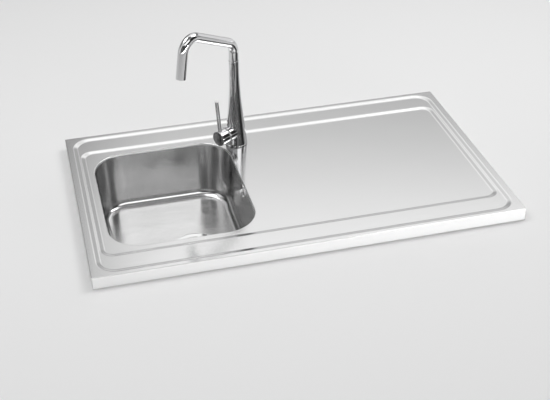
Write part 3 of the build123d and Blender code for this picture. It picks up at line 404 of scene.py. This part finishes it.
def satin_stainless(colours):
    """Stainless steel sheet 1.4301, belt-ground along its length and then pressed."""
    material, tree = new_material("satin_stainless")
    place = add_node(tree, "ShaderNodeTexCoord", {})
    # the grinding leaves fine lines along X, which smear reflections across them. Real lines are too fine to
    # show, so these are drawn nearly a millimetre apart
    stretch = (per_mm(60), per_mm(0.9), per_mm(0.9))
    lines = add_node(tree, "ShaderNodeMapping", {"Vector": place.outputs["Object"], "Scale": stretch})
    grind = add_node(
        tree,
        "ShaderNodeTexNoise",
        {"Vector": lines.outputs[0], "Scale": 1.0, "Detail": 4.0, "Roughness": 0.6},
    )
    satin = add_node(
        tree,
        "ShaderNodeMapRange",
        {"Value": grind.outputs["Fac"], **NOISE_SPREAD, "To Min": 0.15, "To Max": 0.19},
    )
    # the folding press rubs the lip matt, so the sheet is duller where it stands upright
    shape = add_node(tree, "ShaderNodeNewGeometry", {})
    facing = add_node(tree, "ShaderNodeSeparateXYZ", {"Vector": shape.outputs["Normal"]})
    rubbed = add_node(
        tree,
        "ShaderNodeMapRange",
        {"Value": facing.outputs["Z"], "From Min": 0.4, "From Max": 0.8, "To Min": 0.4, "To Max": 0.0},
    )
    rough = add_node(tree, "ShaderNodeMath", {0: satin.outputs[0], 1: rubbed.outputs[0]}, operation="ADD")
    # pressing leaves the flats very slightly wavy
    waves = add_node(
        tree, "ShaderNodeTexNoise", {"Vector": place.outputs["Object"], "Scale": per_mm(170), "Detail": 2.0}
    )
    wavy = add_node(
        tree, "ShaderNodeBump", {"Height": waves.outputs["Fac"], "Strength": 0.25, "Distance": 0.6 * MM}
    )
    ground = add_node(
        tree,
        "ShaderNodeBump",
        {
            "Height": grind.outputs["Fac"],
            "Normal": wavy.outputs[0],
            "Strength": 0.12,
            "Distance": 0.05 * MM,
        },
    )
    along = add_node(tree, "ShaderNodeTangent", {}, direction_type="UV_MAP", uv_map="grinding")
    steel = add_node(
        tree,
        "ShaderNodeBsdfPrincipled",
        {
            "Base Color": linear(colours.satin_steel),
            "Metallic": 1.0,
            "Roughness": rough.outputs[0],
            "Anisotropic": 0.6,
            "Anisotropic Rotation": 0.25,
            "Tangent": along.outputs[0],
            "Normal": ground.outputs[0],
        },
    )
    add_node(tree, "ShaderNodeOutputMaterial", {"Surface": steel.outputs[0]})
    return material


def drawn_stainless(colours):
    """Deep drawn stainless steel, polished inside with a soft wheel."""
    material, tree = new_material("drawn_stainless")
    place = add_node(tree, "ShaderNodeTexCoord", {})
    # drawing leaves the wall slightly wavy, so the polish shows long uneven streaks
    stretch = (per_mm(45), per_mm(45), per_mm(260))
    drawn = add_node(tree, "ShaderNodeMapping", {"Vector": place.outputs["Object"], "Scale": stretch})
    waves = add_node(
        tree,
        "ShaderNodeTexNoise",
        {"Vector": drawn.outputs[0], "Scale": 1.0, "Detail": 4.0, "Roughness": 0.5},
    )
    wavy = add_node(
        tree, "ShaderNodeBump", {"Height": waves.outputs["Fac"], "Strength": 0.5, "Distance": 1.6 * MM}
    )
    # the wheel leaves a fine unevenness, drawn coarser here than it is so that it shows
    grain = add_node(
        tree, "ShaderNodeTexNoise", {"Vector": place.outputs["Object"], "Scale": per_mm(2.5), "Detail": 3.0}
    )
    polished = add_node(
        tree,
        "ShaderNodeBump",
        {"Height": grain.outputs["Fac"], "Normal": wavy.outputs[0], "Strength": 0.1, "Distance": 0.03 * MM},
    )
    # the floor and the waste's recess are ground after drawing, so they are duller than the walls
    height = add_node(tree, "ShaderNodeSeparateXYZ", {"Vector": place.outputs["Object"]})
    ground_to = BOWL_LOW.z + 4 * MM
    fade = 4 * MM
    rough = add_node(
        tree,
        "ShaderNodeMapRange",
        {
            "Value": height.outputs["Z"],
            "From Min": ground_to,
            "From Max": ground_to + fade,
            "To Min": 0.26,
            "To Max": 0.17,
        },
        interpolation_type="SMOOTHSTEP",
    )
    steel = add_node(
        tree,
        "ShaderNodeBsdfPrincipled",
        {
            "Base Color": linear(colours.polished_steel),
            "Metallic": 1.0,
            "Roughness": rough.outputs[0],
            "Normal": polished.outputs[0],
        },
    )
    add_node(tree, "ShaderNodeOutputMaterial", {"Surface": steel.outputs[0]})
    return material


def polished_stainless(colours):
    """Stainless pressings, barrel-polished."""
    # tumbling leaves a mirror with faint swirls
    material, tree = new_material("polished_stainless")
    place = add_node(tree, "ShaderNodeTexCoord", {})
    swirls = add_node(
        tree,
        "ShaderNodeTexNoise",
        {"Vector": place.outputs["Object"], "Scale": per_mm(6), "Detail": 3.0, "Distortion": 1.5},
    )
    rough = add_node(
        tree, "ShaderNodeMapRange", {"Value": swirls.outputs["Fac"], "To Min": 0.05, "To Max": 0.13}
    )
    steel = add_node(
        tree,
        "ShaderNodeBsdfPrincipled",
        {"Base Color": linear(colours.polished_steel), "Metallic": 1.0, "Roughness": rough.outputs[0]},
    )
    add_node(tree, "ShaderNodeOutputMaterial", {"Surface": steel.outputs[0]})
    return material


def chrome_plate(colours):
    """Chrome plate on cast and polished brass."""
    # the mirror bends a little over what the polishing left of the casting's unevenness
    material, tree = new_material("chrome_plate")
    place = add_node(tree, "ShaderNodeTexCoord", {})
    casting = add_node(
        tree, "ShaderNodeTexNoise", {"Vector": place.outputs["Object"], "Scale": per_mm(30), "Detail": 1.0}
    )
    uneven = add_node(
        tree, "ShaderNodeBump", {"Height": casting.outputs["Fac"], "Strength": 0.15, "Distance": 0.1 * MM}
    )
    smears = add_node(
        tree, "ShaderNodeTexNoise", {"Vector": place.outputs["Object"], "Scale": per_mm(12), "Detail": 3.0}
    )
    rough = add_node(
        tree, "ShaderNodeMapRange", {"Value": smears.outputs["Fac"], "To Min": 0.01, "To Max": 0.05}
    )
    plate = add_node(
        tree,
        "ShaderNodeBsdfPrincipled",
        {
            "Base Color": linear(colours.chrome),
            "Metallic": 1.0,
            "Roughness": rough.outputs[0],
            "Normal": uneven.outputs[0],
        },
    )
    add_node(tree, "ShaderNodeOutputMaterial", {"Surface": plate.outputs[0]})
    return material


# the dark places of a plain finish keep this share of its colour
GRAIN_SHADE = 0.86


def plain_finish(name, hex_colour, metallic, rough, grain, relief):
    """A finish of one colour, from its lowest and highest roughness and its grain's size and relief in mm."""
    material, tree = new_material(name)
    place = add_node(tree, "ShaderNodeTexCoord", {})
    noise = add_node(
        tree, "ShaderNodeTexNoise", {"Vector": place.outputs["Object"], "Scale": per_mm(grain), "Detail": 4.0}
    )
    pattern = noise.outputs["Fac"]
    low, high = rough
    gloss = add_node(
        tree, "ShaderNodeMapRange", {"Value": pattern, **NOISE_SPREAD, "To Min": low, "To Max": high}
    )
    bump = add_node(tree, "ShaderNodeBump", {"Height": pattern, "Strength": 0.4, "Distance": relief * MM})
    pale = linear(hex_colour)
    dark = (*(GRAIN_SHADE * channel for channel in pale[:3]), 1.0)
    shade = add_node(tree, "ShaderNodeMix", {"Factor": pattern, "A": pale, "B": dark}, data_type="RGBA")
    surface = add_node(
        tree,
        "ShaderNodeBsdfPrincipled",
        {
            "Base Color": shade.outputs["Result"],
            "Metallic": metallic,
            "Roughness": gloss.outputs[0],
            "Normal": bump.outputs[0],
        },
    )
    add_node(tree, "ShaderNodeOutputMaterial", {"Surface": surface.outputs[0]})
    return material


def galvanised_sheet(colours):
    """Hot-dip galvanised steel: dull metal, with a gloss that changes from one zinc crystal to the next."""
    return plain_finish("galvanised_sheet", colours.zinc, 1.0, rough=(0.35, 0.55), grain=9, relief=0.05)


def bitumen_pad(colours):
    """Rolled bitumen sheet: matt and nearly black, with a sanded face."""
    return plain_finish("bitumen_pad", colours.bitumen, 0.0, rough=(0.7, 0.9), grain=1.2, relief=0.3)


def nitrile_rubber(colours):
    """Moulded nitrile rubber: black, with a low sheen."""
    return plain_finish("nitrile_rubber", colours.rubber, 0.0, rough=(0.45, 0.6), grain=2, relief=0.05)


def polypropylene(colours):
    """Injection-moulded polypropylene: off-white and smooth, with a soft gloss."""
    return plain_finish("polypropylene", colours.polypropylene, 0.0, rough=(0.32, 0.45), grain=3, relief=0.03)


def acetal(colours):
    """Injection-moulded acetal: grey and smooth, a little glossier than polypropylene."""
    return plain_finish("acetal", colours.acetal, 0.0, rough=(0.3, 0.4), grain=2, relief=0.02)


def turned_brass(colours):
    """Brass turned on a lathe: bright yellow metal with a fine tool finish."""
    return plain_finish("turned_brass", colours.brass, 1.0, rough=(0.18, 0.3), grain=1.5, relief=0.02)


def spruce(colours):
    """Planed spruce."""
    # dark and pale bands, which run along X in every batten
    material, tree = new_material("spruce")
    place = add_node(tree, "ShaderNodeTexCoord", {})
    stretch = (per_mm(140), per_mm(7), per_mm(7))
    along = add_node(tree, "ShaderNodeMapping", {"Vector": place.outputs["Object"], "Scale": stretch})
    rings = add_node(
        tree,
        "ShaderNodeTexNoise",
        {"Vector": along.outputs[0], "Scale": 1.0, "Detail": 3.0, "Distortion": 0.4},
    )
    bands = add_node(
        tree, "ShaderNodeMapRange", {"Value": rings.outputs["Fac"], "From Min": 0.4, "From Max": 0.65}
    )
    wood = add_node(
        tree,
        "ShaderNodeMix",
        {"Factor": bands.outputs[0], "A": linear(colours.spruce), "B": linear(colours.spruce_grain)},
        data_type="RGBA",
    )
    bump = add_node(
        tree, "ShaderNodeBump", {"Height": rings.outputs["Fac"], "Strength": 0.3, "Distance": 0.2 * MM}
    )
    rough = add_node(
        tree, "ShaderNodeMapRange", {"Value": rings.outputs["Fac"], "To Min": 0.5, "To Max": 0.75}
    )
    surface = add_node(
        tree,
        "ShaderNodeBsdfPrincipled",
        {"Base Color": wood.outputs["Result"], "Roughness": rough.outputs[0], "Normal": bump.outputs[0]},
    )
    add_node(tree, "ShaderNodeOutputMaterial", {"Surface": surface.outputs[0]})
    return material


def matt_paint(hex_colour):
    """Matt paint, which shows no reflections."""
    material, tree = new_material("matt_paint")
    paint = add_node(tree, "ShaderNodeBsdfDiffuse", {"Color": linear(hex_colour)})
    add_node(tree, "ShaderNodeOutputMaterial", {"Surface": paint.outputs[0]})
    return material


# ---------------------------------------------------------------- pressed top


def deck_height(sizes):
    """The height of the flat deck, two steps below the rim."""
    return TOP_HIGH.z - 2 * sizes.step_drop


def foot_ring(sizes, height):
    """The inner edge of the lip's turned-in foot."""
    length = TOP_LENGTH - 2 * sizes.flange
    width = TOP_WIDTH - 2 * sizes.flange
    return corner_ring(TOP_MIDDLE, length, width, sizes.corner, height)


def sheet_rings(sizes, depth):
    """Rings from the foot of the lip to the edge of the deck, on the face at that depth in the sheet."""
    rim = TOP_HIGH.z - depth
    ledge = rim - sizes.step_drop
    deck = ledge - sizes.step_drop
    lip = arc_path([(depth, TOP_LOW.z + depth), (depth, rim, sizes.fold - depth), (2 * sizes.fold, rim)])
    rings = inset_rings(TOP_MIDDLE, TOP_LENGTH, TOP_WIDTH, sizes.corner, lip[:-1])
    upper_length = TOP_LENGTH - 2 * sizes.rim_side
    upper_width = TOP_WIDTH - 2 * sizes.rim_front
    lower_length = upper_length - 2 * (sizes.step_run + sizes.ledge_side)
    lower_width = upper_width - 2 * (sizes.step_run + sizes.ledge_front)
    for length, width, corner, high, low in (
        (upper_length, upper_width, sizes.upper_corner, rim, ledge),
        (lower_length, lower_width, sizes.lower_corner, ledge, deck),
    ):
        bend = sizes.step_blend
        step = [(-bend, high), (0, high, bend), (sizes.step_run, low, bend), (sizes.step_run + bend, low)]
        rings += inset_rings(TOP_MIDDLE, length, width, corner, arc_path(step)[1:-1])
    return rings


def mouth_size(sizes):
    """The length and width of the bowl's mouth."""
    return (BOWL_HIGH - BOWL_LOW).x - 2 * sizes.sheet, (BOWL_HIGH - BOWL_LOW).y - 2 * sizes.sheet


def mouth_rings(sizes, depth):
    """Rings from the deck down the collar of the bowl's mouth, on the face at that depth in the sheet."""
    length, width = mouth_size(sizes)
    deck = deck_height(sizes) - depth
    collar = deck_height(sizes) - sizes.collar
    bend = sizes.bowl_edge - depth
    path = arc_path([(-2 * bend, deck), (0, deck, bend), (0, collar)])
    corner = sizes.bowl_corner + depth
    return inset_rings(BOWL_MIDDLE, length + 2 * depth, width + 2 * depth, corner, path[1:])


class SINK_OT_pressed_top(bpy.types.Operator):
    """Builds the stepped steel top with its lip, tap hole and the collar of the bowl's mouth"""

    bl_idname = "sink.pressed_top"
    bl_label = "Pressed top"

    def execute(self, context):
        sizes = context.scene.sink_sizes
        mesh = bmesh.new()
        mouths, tap_holes, feet = [], [], []
        for depth in (0, sizes.sheet):
            rings = skin(mesh, sheet_rings(sizes, depth))
            mouth = skin(mesh, mouth_rings(sizes, depth))
            centre = Vector((TAP_AXIS.x, TAP_AXIS.y, deck_height(sizes) - depth))
            tap_hole = add_ring(mesh, circle_ring(centre, sizes.tap_hole, ALONG, BACK))
            fill_flat(mesh, rings[-1], mouth[0], tap_hole)
            foot = add_ring(mesh, foot_ring(sizes, TOP_LOW.z + depth))
            bridge(mesh, [foot, rings[0]])
            mouths.append(mouth[-1])
            tap_holes.append(tap_hole)
            feet.append(foot)
        # the sheet's two faces meet at its cut edges
        for cut in (mouths, tap_holes, feet):
            bridge(mesh, cut)
        material = satin_stainless(context.scene.sink_finishes)
        piece = finished(mesh, "top_sheet", "sink", ["sink_top"], material)
        unfold(piece.data, "grinding", TOP_HIGH.z)
        return {"FINISHED"}


# ---------------------------------------------------------------- bowl


def recess_height(sizes):
    """The height of the recess's bottom, inside the bowl."""
    return BOWL_LOW.z + sizes.sheet


def floor_height(sizes):
    """The height of the bowl's floor, inside the bowl."""
    return recess_height(sizes) + sizes.recess_depth


def wall_rings(sizes, depth):
    """Rings from the top of the wall to the edge of the floor, on the face at that depth in the sheet."""
    length, width = mouth_size(sizes)
    bottom = floor_height(sizes) - depth
    inset = (BOWL_HIGH.z - bottom) * math.tan(sizes.draft) - depth
    bend = sizes.bowl_bottom + depth
    path = arc_path([(-depth, BOWL_HIGH.z), (inset, bottom, bend), (inset + 2 * bend, bottom)], pieces=12)
    return inset_rings(BOWL_MIDDLE, length, width, sizes.bowl_corner, path[:-1])


def overflow_ring(sizes, depth):
    """The overflow's hole in the straight stretch of the wall towards the drainboard."""
    length, _ = mouth_size(sizes)
    drop = sizes.overflow_drop - sizes.collar
    wall_x = BOWL_MIDDLE.x + length / 2 + depth - drop * math.tan(sizes.draft)
    centre = Vector((wall_x, sizes.overflow_y, BOWL_HIGH.z - drop))
    upright = Vector((math.sin(sizes.draft), 0, math.cos(sizes.draft)))
    return circle_ring(centre, sizes.overflow_hole, -BACK, upright)


def open_wall(mesh, walls, hole):
    """Cuts a hole in the wall's straight stretch, the face that closes the first two rings."""
    span = (walls[0][-1], walls[0][0], walls[1][0], walls[1][-1])
    mesh.faces.remove(next(face for face in span[0].link_faces if all(vert in face.verts for vert in span)))
    fill_flat(mesh, span, hole)


def recess_rings(sizes, depth):
    """Rings from the floor down into the waste's recess and in to its hole, on the face at that depth."""
    floor = floor_height(sizes) - depth
    bottom = recess_height(sizes) - depth
    edge = sizes.recess + depth
    brink = sizes.recess_brink
    path = arc_path(
        [
            (edge + 2 * brink, floor),
            (edge, floor, brink),
            (edge, bottom, sizes.recess_root),
            (sizes.waste_hole, bottom),
        ]
    )
    return [circle_ring(Vector((DRAIN.x, DRAIN.y, level)), radius, ALONG, BACK) for radius, level in path[1:]]


class SINK_OT_bowl(bpy.types.Operator):
    """Builds the drawn bowl with its overflow hole and the recess of its waste"""

    bl_idname = "sink.bowl"
    bl_label = "Bowl"

    def execute(self, context):
        sizes = context.scene.sink_sizes
        mesh = bmesh.new()
        mouths, overflow_holes, waste_holes = [], [], []
        for depth in (0, sizes.sheet):
            walls = skin(mesh, wall_rings(sizes, depth))
            overflow_hole = add_ring(mesh, overflow_ring(sizes, depth))
            open_wall(mesh, walls, overflow_hole)
            recess = skin(mesh, recess_rings(sizes, depth))
            fill_flat(mesh, walls[-1], recess[0])
            mouths.append(walls[0])
            overflow_holes.append(overflow_hole)
            waste_holes.append(recess[-1])
        # the sheet's two faces meet at its cut edges
        for cut in (mouths, overflow_holes, waste_holes):
            bridge(mesh, cut)
        material = drawn_stainless(context.scene.sink_finishes)
        finished(mesh, "drawn_bowl", "sink", ["bowl"], material)
        return {"FINISHED"}


# ---------------------------------------------------------------- fittings


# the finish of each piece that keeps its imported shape
FITTINGS = {
    spruce: ("batten_front", "batten_back", "batten_left", "batten_right"),
    galvanised_sheet: (
        "channel_left",
        "channel_middle",
        "channel_right",
        "bracket_front_left",
        "bracket_front_right",
        "bracket_back_left",
        "bracket_back_right",
        "bracket_screws",
        "tap_backing_plate",
        "tap_steel_washer",
        "grub_screw",
        "pivot_pin",
    ),
    bitumen_pad: ("drainer_pad_left", "drainer_pad_right", "bowl_pad"),
    nitrile_rubber: (
        "flange_gasket",
        "waste_gasket",
        "overflow_gasket",
        "basket_stopper",
        "tap_base_seal",
        "tap_rubber_washer",
        "spout_o_rings",
    ),
    polypropylene: ("waste_housing", "overflow_head", "overflow_pipe"),
    acetal: ("cartridge", "selector", "spout_bush", "aerator_insert"),
    turned_brass: ("tap_shank", "tap_nut", "cartridge_nut", "handle_stem", "spout_stem"),
    polished_stainless: (
        "strainer_cup",
        "centre_bolt",
        "basket",
        "basket_knob",
        "overflow_rosette",
        "overflow_screw",
    ),
    chrome_plate: (
        "tap_body",
        "tap_base_ring",
        "cartridge_dome",
        "handle_cap",
        "lever",
        "spout_tube",
        "spout_collar",
        "aerator_housing",
    ),
}


class SINK_OT_fittings(bpy.types.Operator):
    """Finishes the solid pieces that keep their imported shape"""

    bl_idname = "sink.fittings"
    bl_label = "Fittings"

    def execute(self, context):
        for finish, names in FITTINGS.items():
            material = finish(context.scene.sink_finishes)
            for name in names:
                for slot in NODES[name].material_slots:
                    slot.material = material
        return {"FINISHED"}


# ---------------------------------------------------------------- stage


class Wall(NamedTuple):
    """A stretch of the studio's wall: its middle, half width and soft edge in degrees of plan from +X."""

    name: str
    middle: float
    half_width: float
    soft_edge: float
    # its grey levels, as (degrees above the horizon, level), of which the last reaches up to the zenith
    levels: tuple


# The studio as the metal mirrors it. The level at the horizon and below it is about that of the floor. The
# front wall goes all round, and each of the other walls covers a stretch of those before it.
HORIZON_LEVEL = 0.85
FRONT_LEVELS = ((0.5, 22), (2.5, 22), (3.2, 0.15), (28, 0.2), (32, 0.75), (38, 2.1), (50, 2.1), (56, 0.25))
WALLS = (
    Wall("left", 180, 60, 8, ((30, 0.8), (45, 0.9), (56, 0.4), (90, 0.2))),
    Wall(
        "front left",
        -110,
        16,
        6,
        ((0.5, 10), (2.5, 10), (3.2, 0.12), (26, 0.04), (42, 0.04), (48, 1.6), (52, 1.6), (56, 0.25)),
    ),
    Wall(
        "behind left",
        124,
        40,
        6,
        ((6, 0.7), (20, 0.15), (28, 0.1), (33, 0.35), (36, 0.1), (46, 0.8), (56, 1.1), (70, 1.3), (76, 0.2)),
    ),
    Wall(
        "behind",
        66,
        15,
        12,
        (
            (22, 0.4), (27, 0.42), (31, 0.7), (34, 1.2), (38, 1.3),
            (46, 1.0), (58, 1.0), (64, 1.6), (70, 1.6), (76, 0.2),
        ),
    ),
    Wall(
        "behind right",
        30,
        18,
        4,
        ((2, 1.0), (24, 1.0), (28, 0.2), (37, 0.2), (42, 1.1), (70, 1.3), (76, 0.2)),
    ),
    Wall("right", -38, 28, 4, ((1, 0.04), (44, 0.02), (52, 0.5), (56, 0.2))),
    Wall("right strip", 0, 6, 5, ((1, 0.3), (26, 0.5), (30, 0.5), (42, 0.5), (46, 0.04), (56, 0.2))),
    Wall(
        "front right",
        -62,
        12,
        10,
        ((0.5, 54), (2.5, 54), (3.2, 0.04), (26, 0.04), (31, 0.6), (38, 1.9), (50, 1.9), (56, 0.25)),
    ),
    Wall("left gap", -146, 12, 4, ((2, 0.4), (8, 0.05), (42, 0.05), (46, 1.0), (56, 0.2))),
)


def wall_grey(tree, height, levels):
    """The grey of a wall at a height, which is given as the sine of the angle above the horizon."""
    ramp = add_node(tree, "ShaderNodeValToRGB", {"Fac": height})
    stops = [(0, HORIZON_LEVEL), *((math.sin(math.radians(angle)), level) for angle, level in levels)]
    elements = ramp.color_ramp.elements
    while len(elements) < len(stops):
        elements.new(0.5)
    for element, (place, level) in zip(elements, stops):
        element.position = place
        element.color = (level, level, level, 1.0)
    return ramp.outputs["Color"]


def studio_world():
    """A room of bright and dark walls round the sink, whose reflections give the metal its bands."""
    world = bpy.data.worlds.new("studio")
    bpy.context.scene.world = world
    world.use_nodes = True
    tree = world.node_tree
    tree.nodes.clear()
    place = add_node(tree, "ShaderNodeTexCoord", {})
    towards = place.outputs["Generated"]
    height = add_node(tree, "ShaderNodeSeparateXYZ", {"Vector": towards}).outputs["Z"]
    flat = add_node(tree, "ShaderNodeVectorMath", {0: towards, 1: (1, 1, 0)}, operation="MULTIPLY")
    plan = add_node(tree, "ShaderNodeVectorMath", {0: flat.outputs[0]}, operation="NORMALIZE")
    grey = wall_grey(tree, height, FRONT_LEVELS)
    for wall in WALLS:
        middle = math.radians(wall.middle)
        near = math.cos(math.radians(wall.half_width))
        far = math.cos(math.radians(wall.half_width + wall.soft_edge))
        nearness = add_node(
            tree,
            "ShaderNodeVectorMath",
            {0: plan.outputs[0], 1: (math.cos(middle), math.sin(middle), 0)},
            operation="DOT_PRODUCT",
        )
        share = add_node(
            tree,
            "ShaderNodeMapRange",
            {"Value": nearness.outputs["Value"], "From Min": far, "From Max": near},
            interpolation_type="SMOOTHSTEP",
            label=wall.name,
        )
        own_grey = wall_grey(tree, height, wall.levels)
        covered = add_node(
            tree, "ShaderNodeMix", {"Factor": share.outputs[0], "A": grey, "B": own_grey}, data_type="RGBA"
        )
        grey = covered.outputs["Result"]
    room = add_node(tree, "ShaderNodeBackground", {"Color": grey, "Strength": 1.0})
    add_node(tree, "ShaderNodeOutputWorld", {"Surface": room.outputs[0]})


def add_floor(settings, sizes):
    """A pale floor just under the lip's foot, with an opening for the bowl to hang in."""
    ground = TOP_LOW.z - settings.floor_gap
    side = settings.floor_size
    edge = corner_ring(Vector((0, 0, 0)), side, side, settings.floor_corner, ground)
    mesh = bmesh.new()
    skin(mesh, [edge, foot_ring(sizes, ground)])
    data = bpy.data.meshes.new("floor")
    mesh.to_mesh(data)
    mesh.free()
    data.materials.append(matt_paint(settings.floor_colour))
    floor = bpy.data.objects.new("floor", data)
    bpy.context.scene.collection.objects.link(floor)


def add_lamp(name, place, size, power):
    """A soft square lamp that looks at the middle of the sink."""
    light = bpy.data.lights.new(name, "AREA")
    light.shape = "SQUARE"
    light.size = size
    light.energy = power
    lamp = bpy.data.objects.new(name, light)
    lamp.location = place
    lamp.rotation_euler = (-Vector(place)).to_track_quat("-Z", "Y").to_euler()
    bpy.context.scene.collection.objects.link(lamp)


def add_camera(settings):
    """The camera of the photograph."""
    data = bpy.data.cameras.new("camera")
    data.lens = settings.lens
    data.sensor_width = settings.sensor
    camera = bpy.data.objects.new("camera", data)
    bpy.context.scene.collection.objects.link(camera)
    plan, rise = settings.azimuth, settings.elevation
    back = Vector((math.sin(plan) * math.cos(rise), -math.cos(plan) * math.cos(rise), math.sin(rise)))
    turn = back.to_track_quat("Z", "Y").to_matrix() @ Matrix.Rotation(settings.roll, 3, "Z")
    camera.matrix_world = Matrix.Translation(settings.place) @ turn.to_4x4()
    bpy.context.scene.camera = camera


class SINK_OT_stage(bpy.types.Operator):
    """Sets up the pale floor, the soft studio light and the camera of the photograph"""

    bl_idname = "sink.stage"
    bl_label = "Stage"

    def execute(self, context):
        settings = context.scene.sink_stage
        add_floor(settings, context.scene.sink_sizes)
        studio_world()
        add_lamp("left_softbox", settings.left_lamp, settings.lamp_size, settings.left_power)
        add_lamp("right_softbox", settings.right_lamp, settings.lamp_size, settings.right_power)
        add_camera(settings)
        context.scene.view_settings.view_transform = "Standard"
        return {"FINISHED"}


# ---------------------------------------------------------------- add-on


class SINK_PT_panel(bpy.types.Panel):
    """Lists the sink's pieces and its stage"""

    bl_label = "Kitchen sink"
    bl_idname = "SINK_PT_panel"
    bl_space_type = "VIEW_3D"
    bl_region_type = "UI"
    bl_category = "Sink"

    def draw(self, context):
        for operator in OPERATORS:
            self.layout.operator(operator.bl_idname)


OPERATORS = (SINK_OT_pressed_top, SINK_OT_bowl, SINK_OT_fittings, SINK_OT_stage)
CLASSES = (SinkSizes, StageSettings, FinishColours, *OPERATORS, SINK_PT_panel)


def register():
    """Registers the classes, and gives the scene its sizes, its stage and its colours."""
    for kind in CLASSES:
        bpy.utils.register_class(kind)
    bpy.types.Scene.sink_sizes = PointerProperty(type=SinkSizes)
    bpy.types.Scene.sink_stage = PointerProperty(type=StageSettings)
    bpy.types.Scene.sink_finishes = PointerProperty(type=FinishColours)


def unregister():
    """Takes back what register gives."""
    del bpy.types.Scene.sink_sizes
    del bpy.types.Scene.sink_stage
    del bpy.types.Scene.sink_finishes
    for kind in reversed(CLASSES):
        bpy.utils.unregister_class(kind)


def main():
    """Builds the sink and its stage."""
    register()
    bpy.ops.sink.pressed_top()
    bpy.ops.sink.bowl()
    bpy.ops.sink.fittings()
    bpy.ops.sink.stage()


if __name__ == "__main__":
    main()
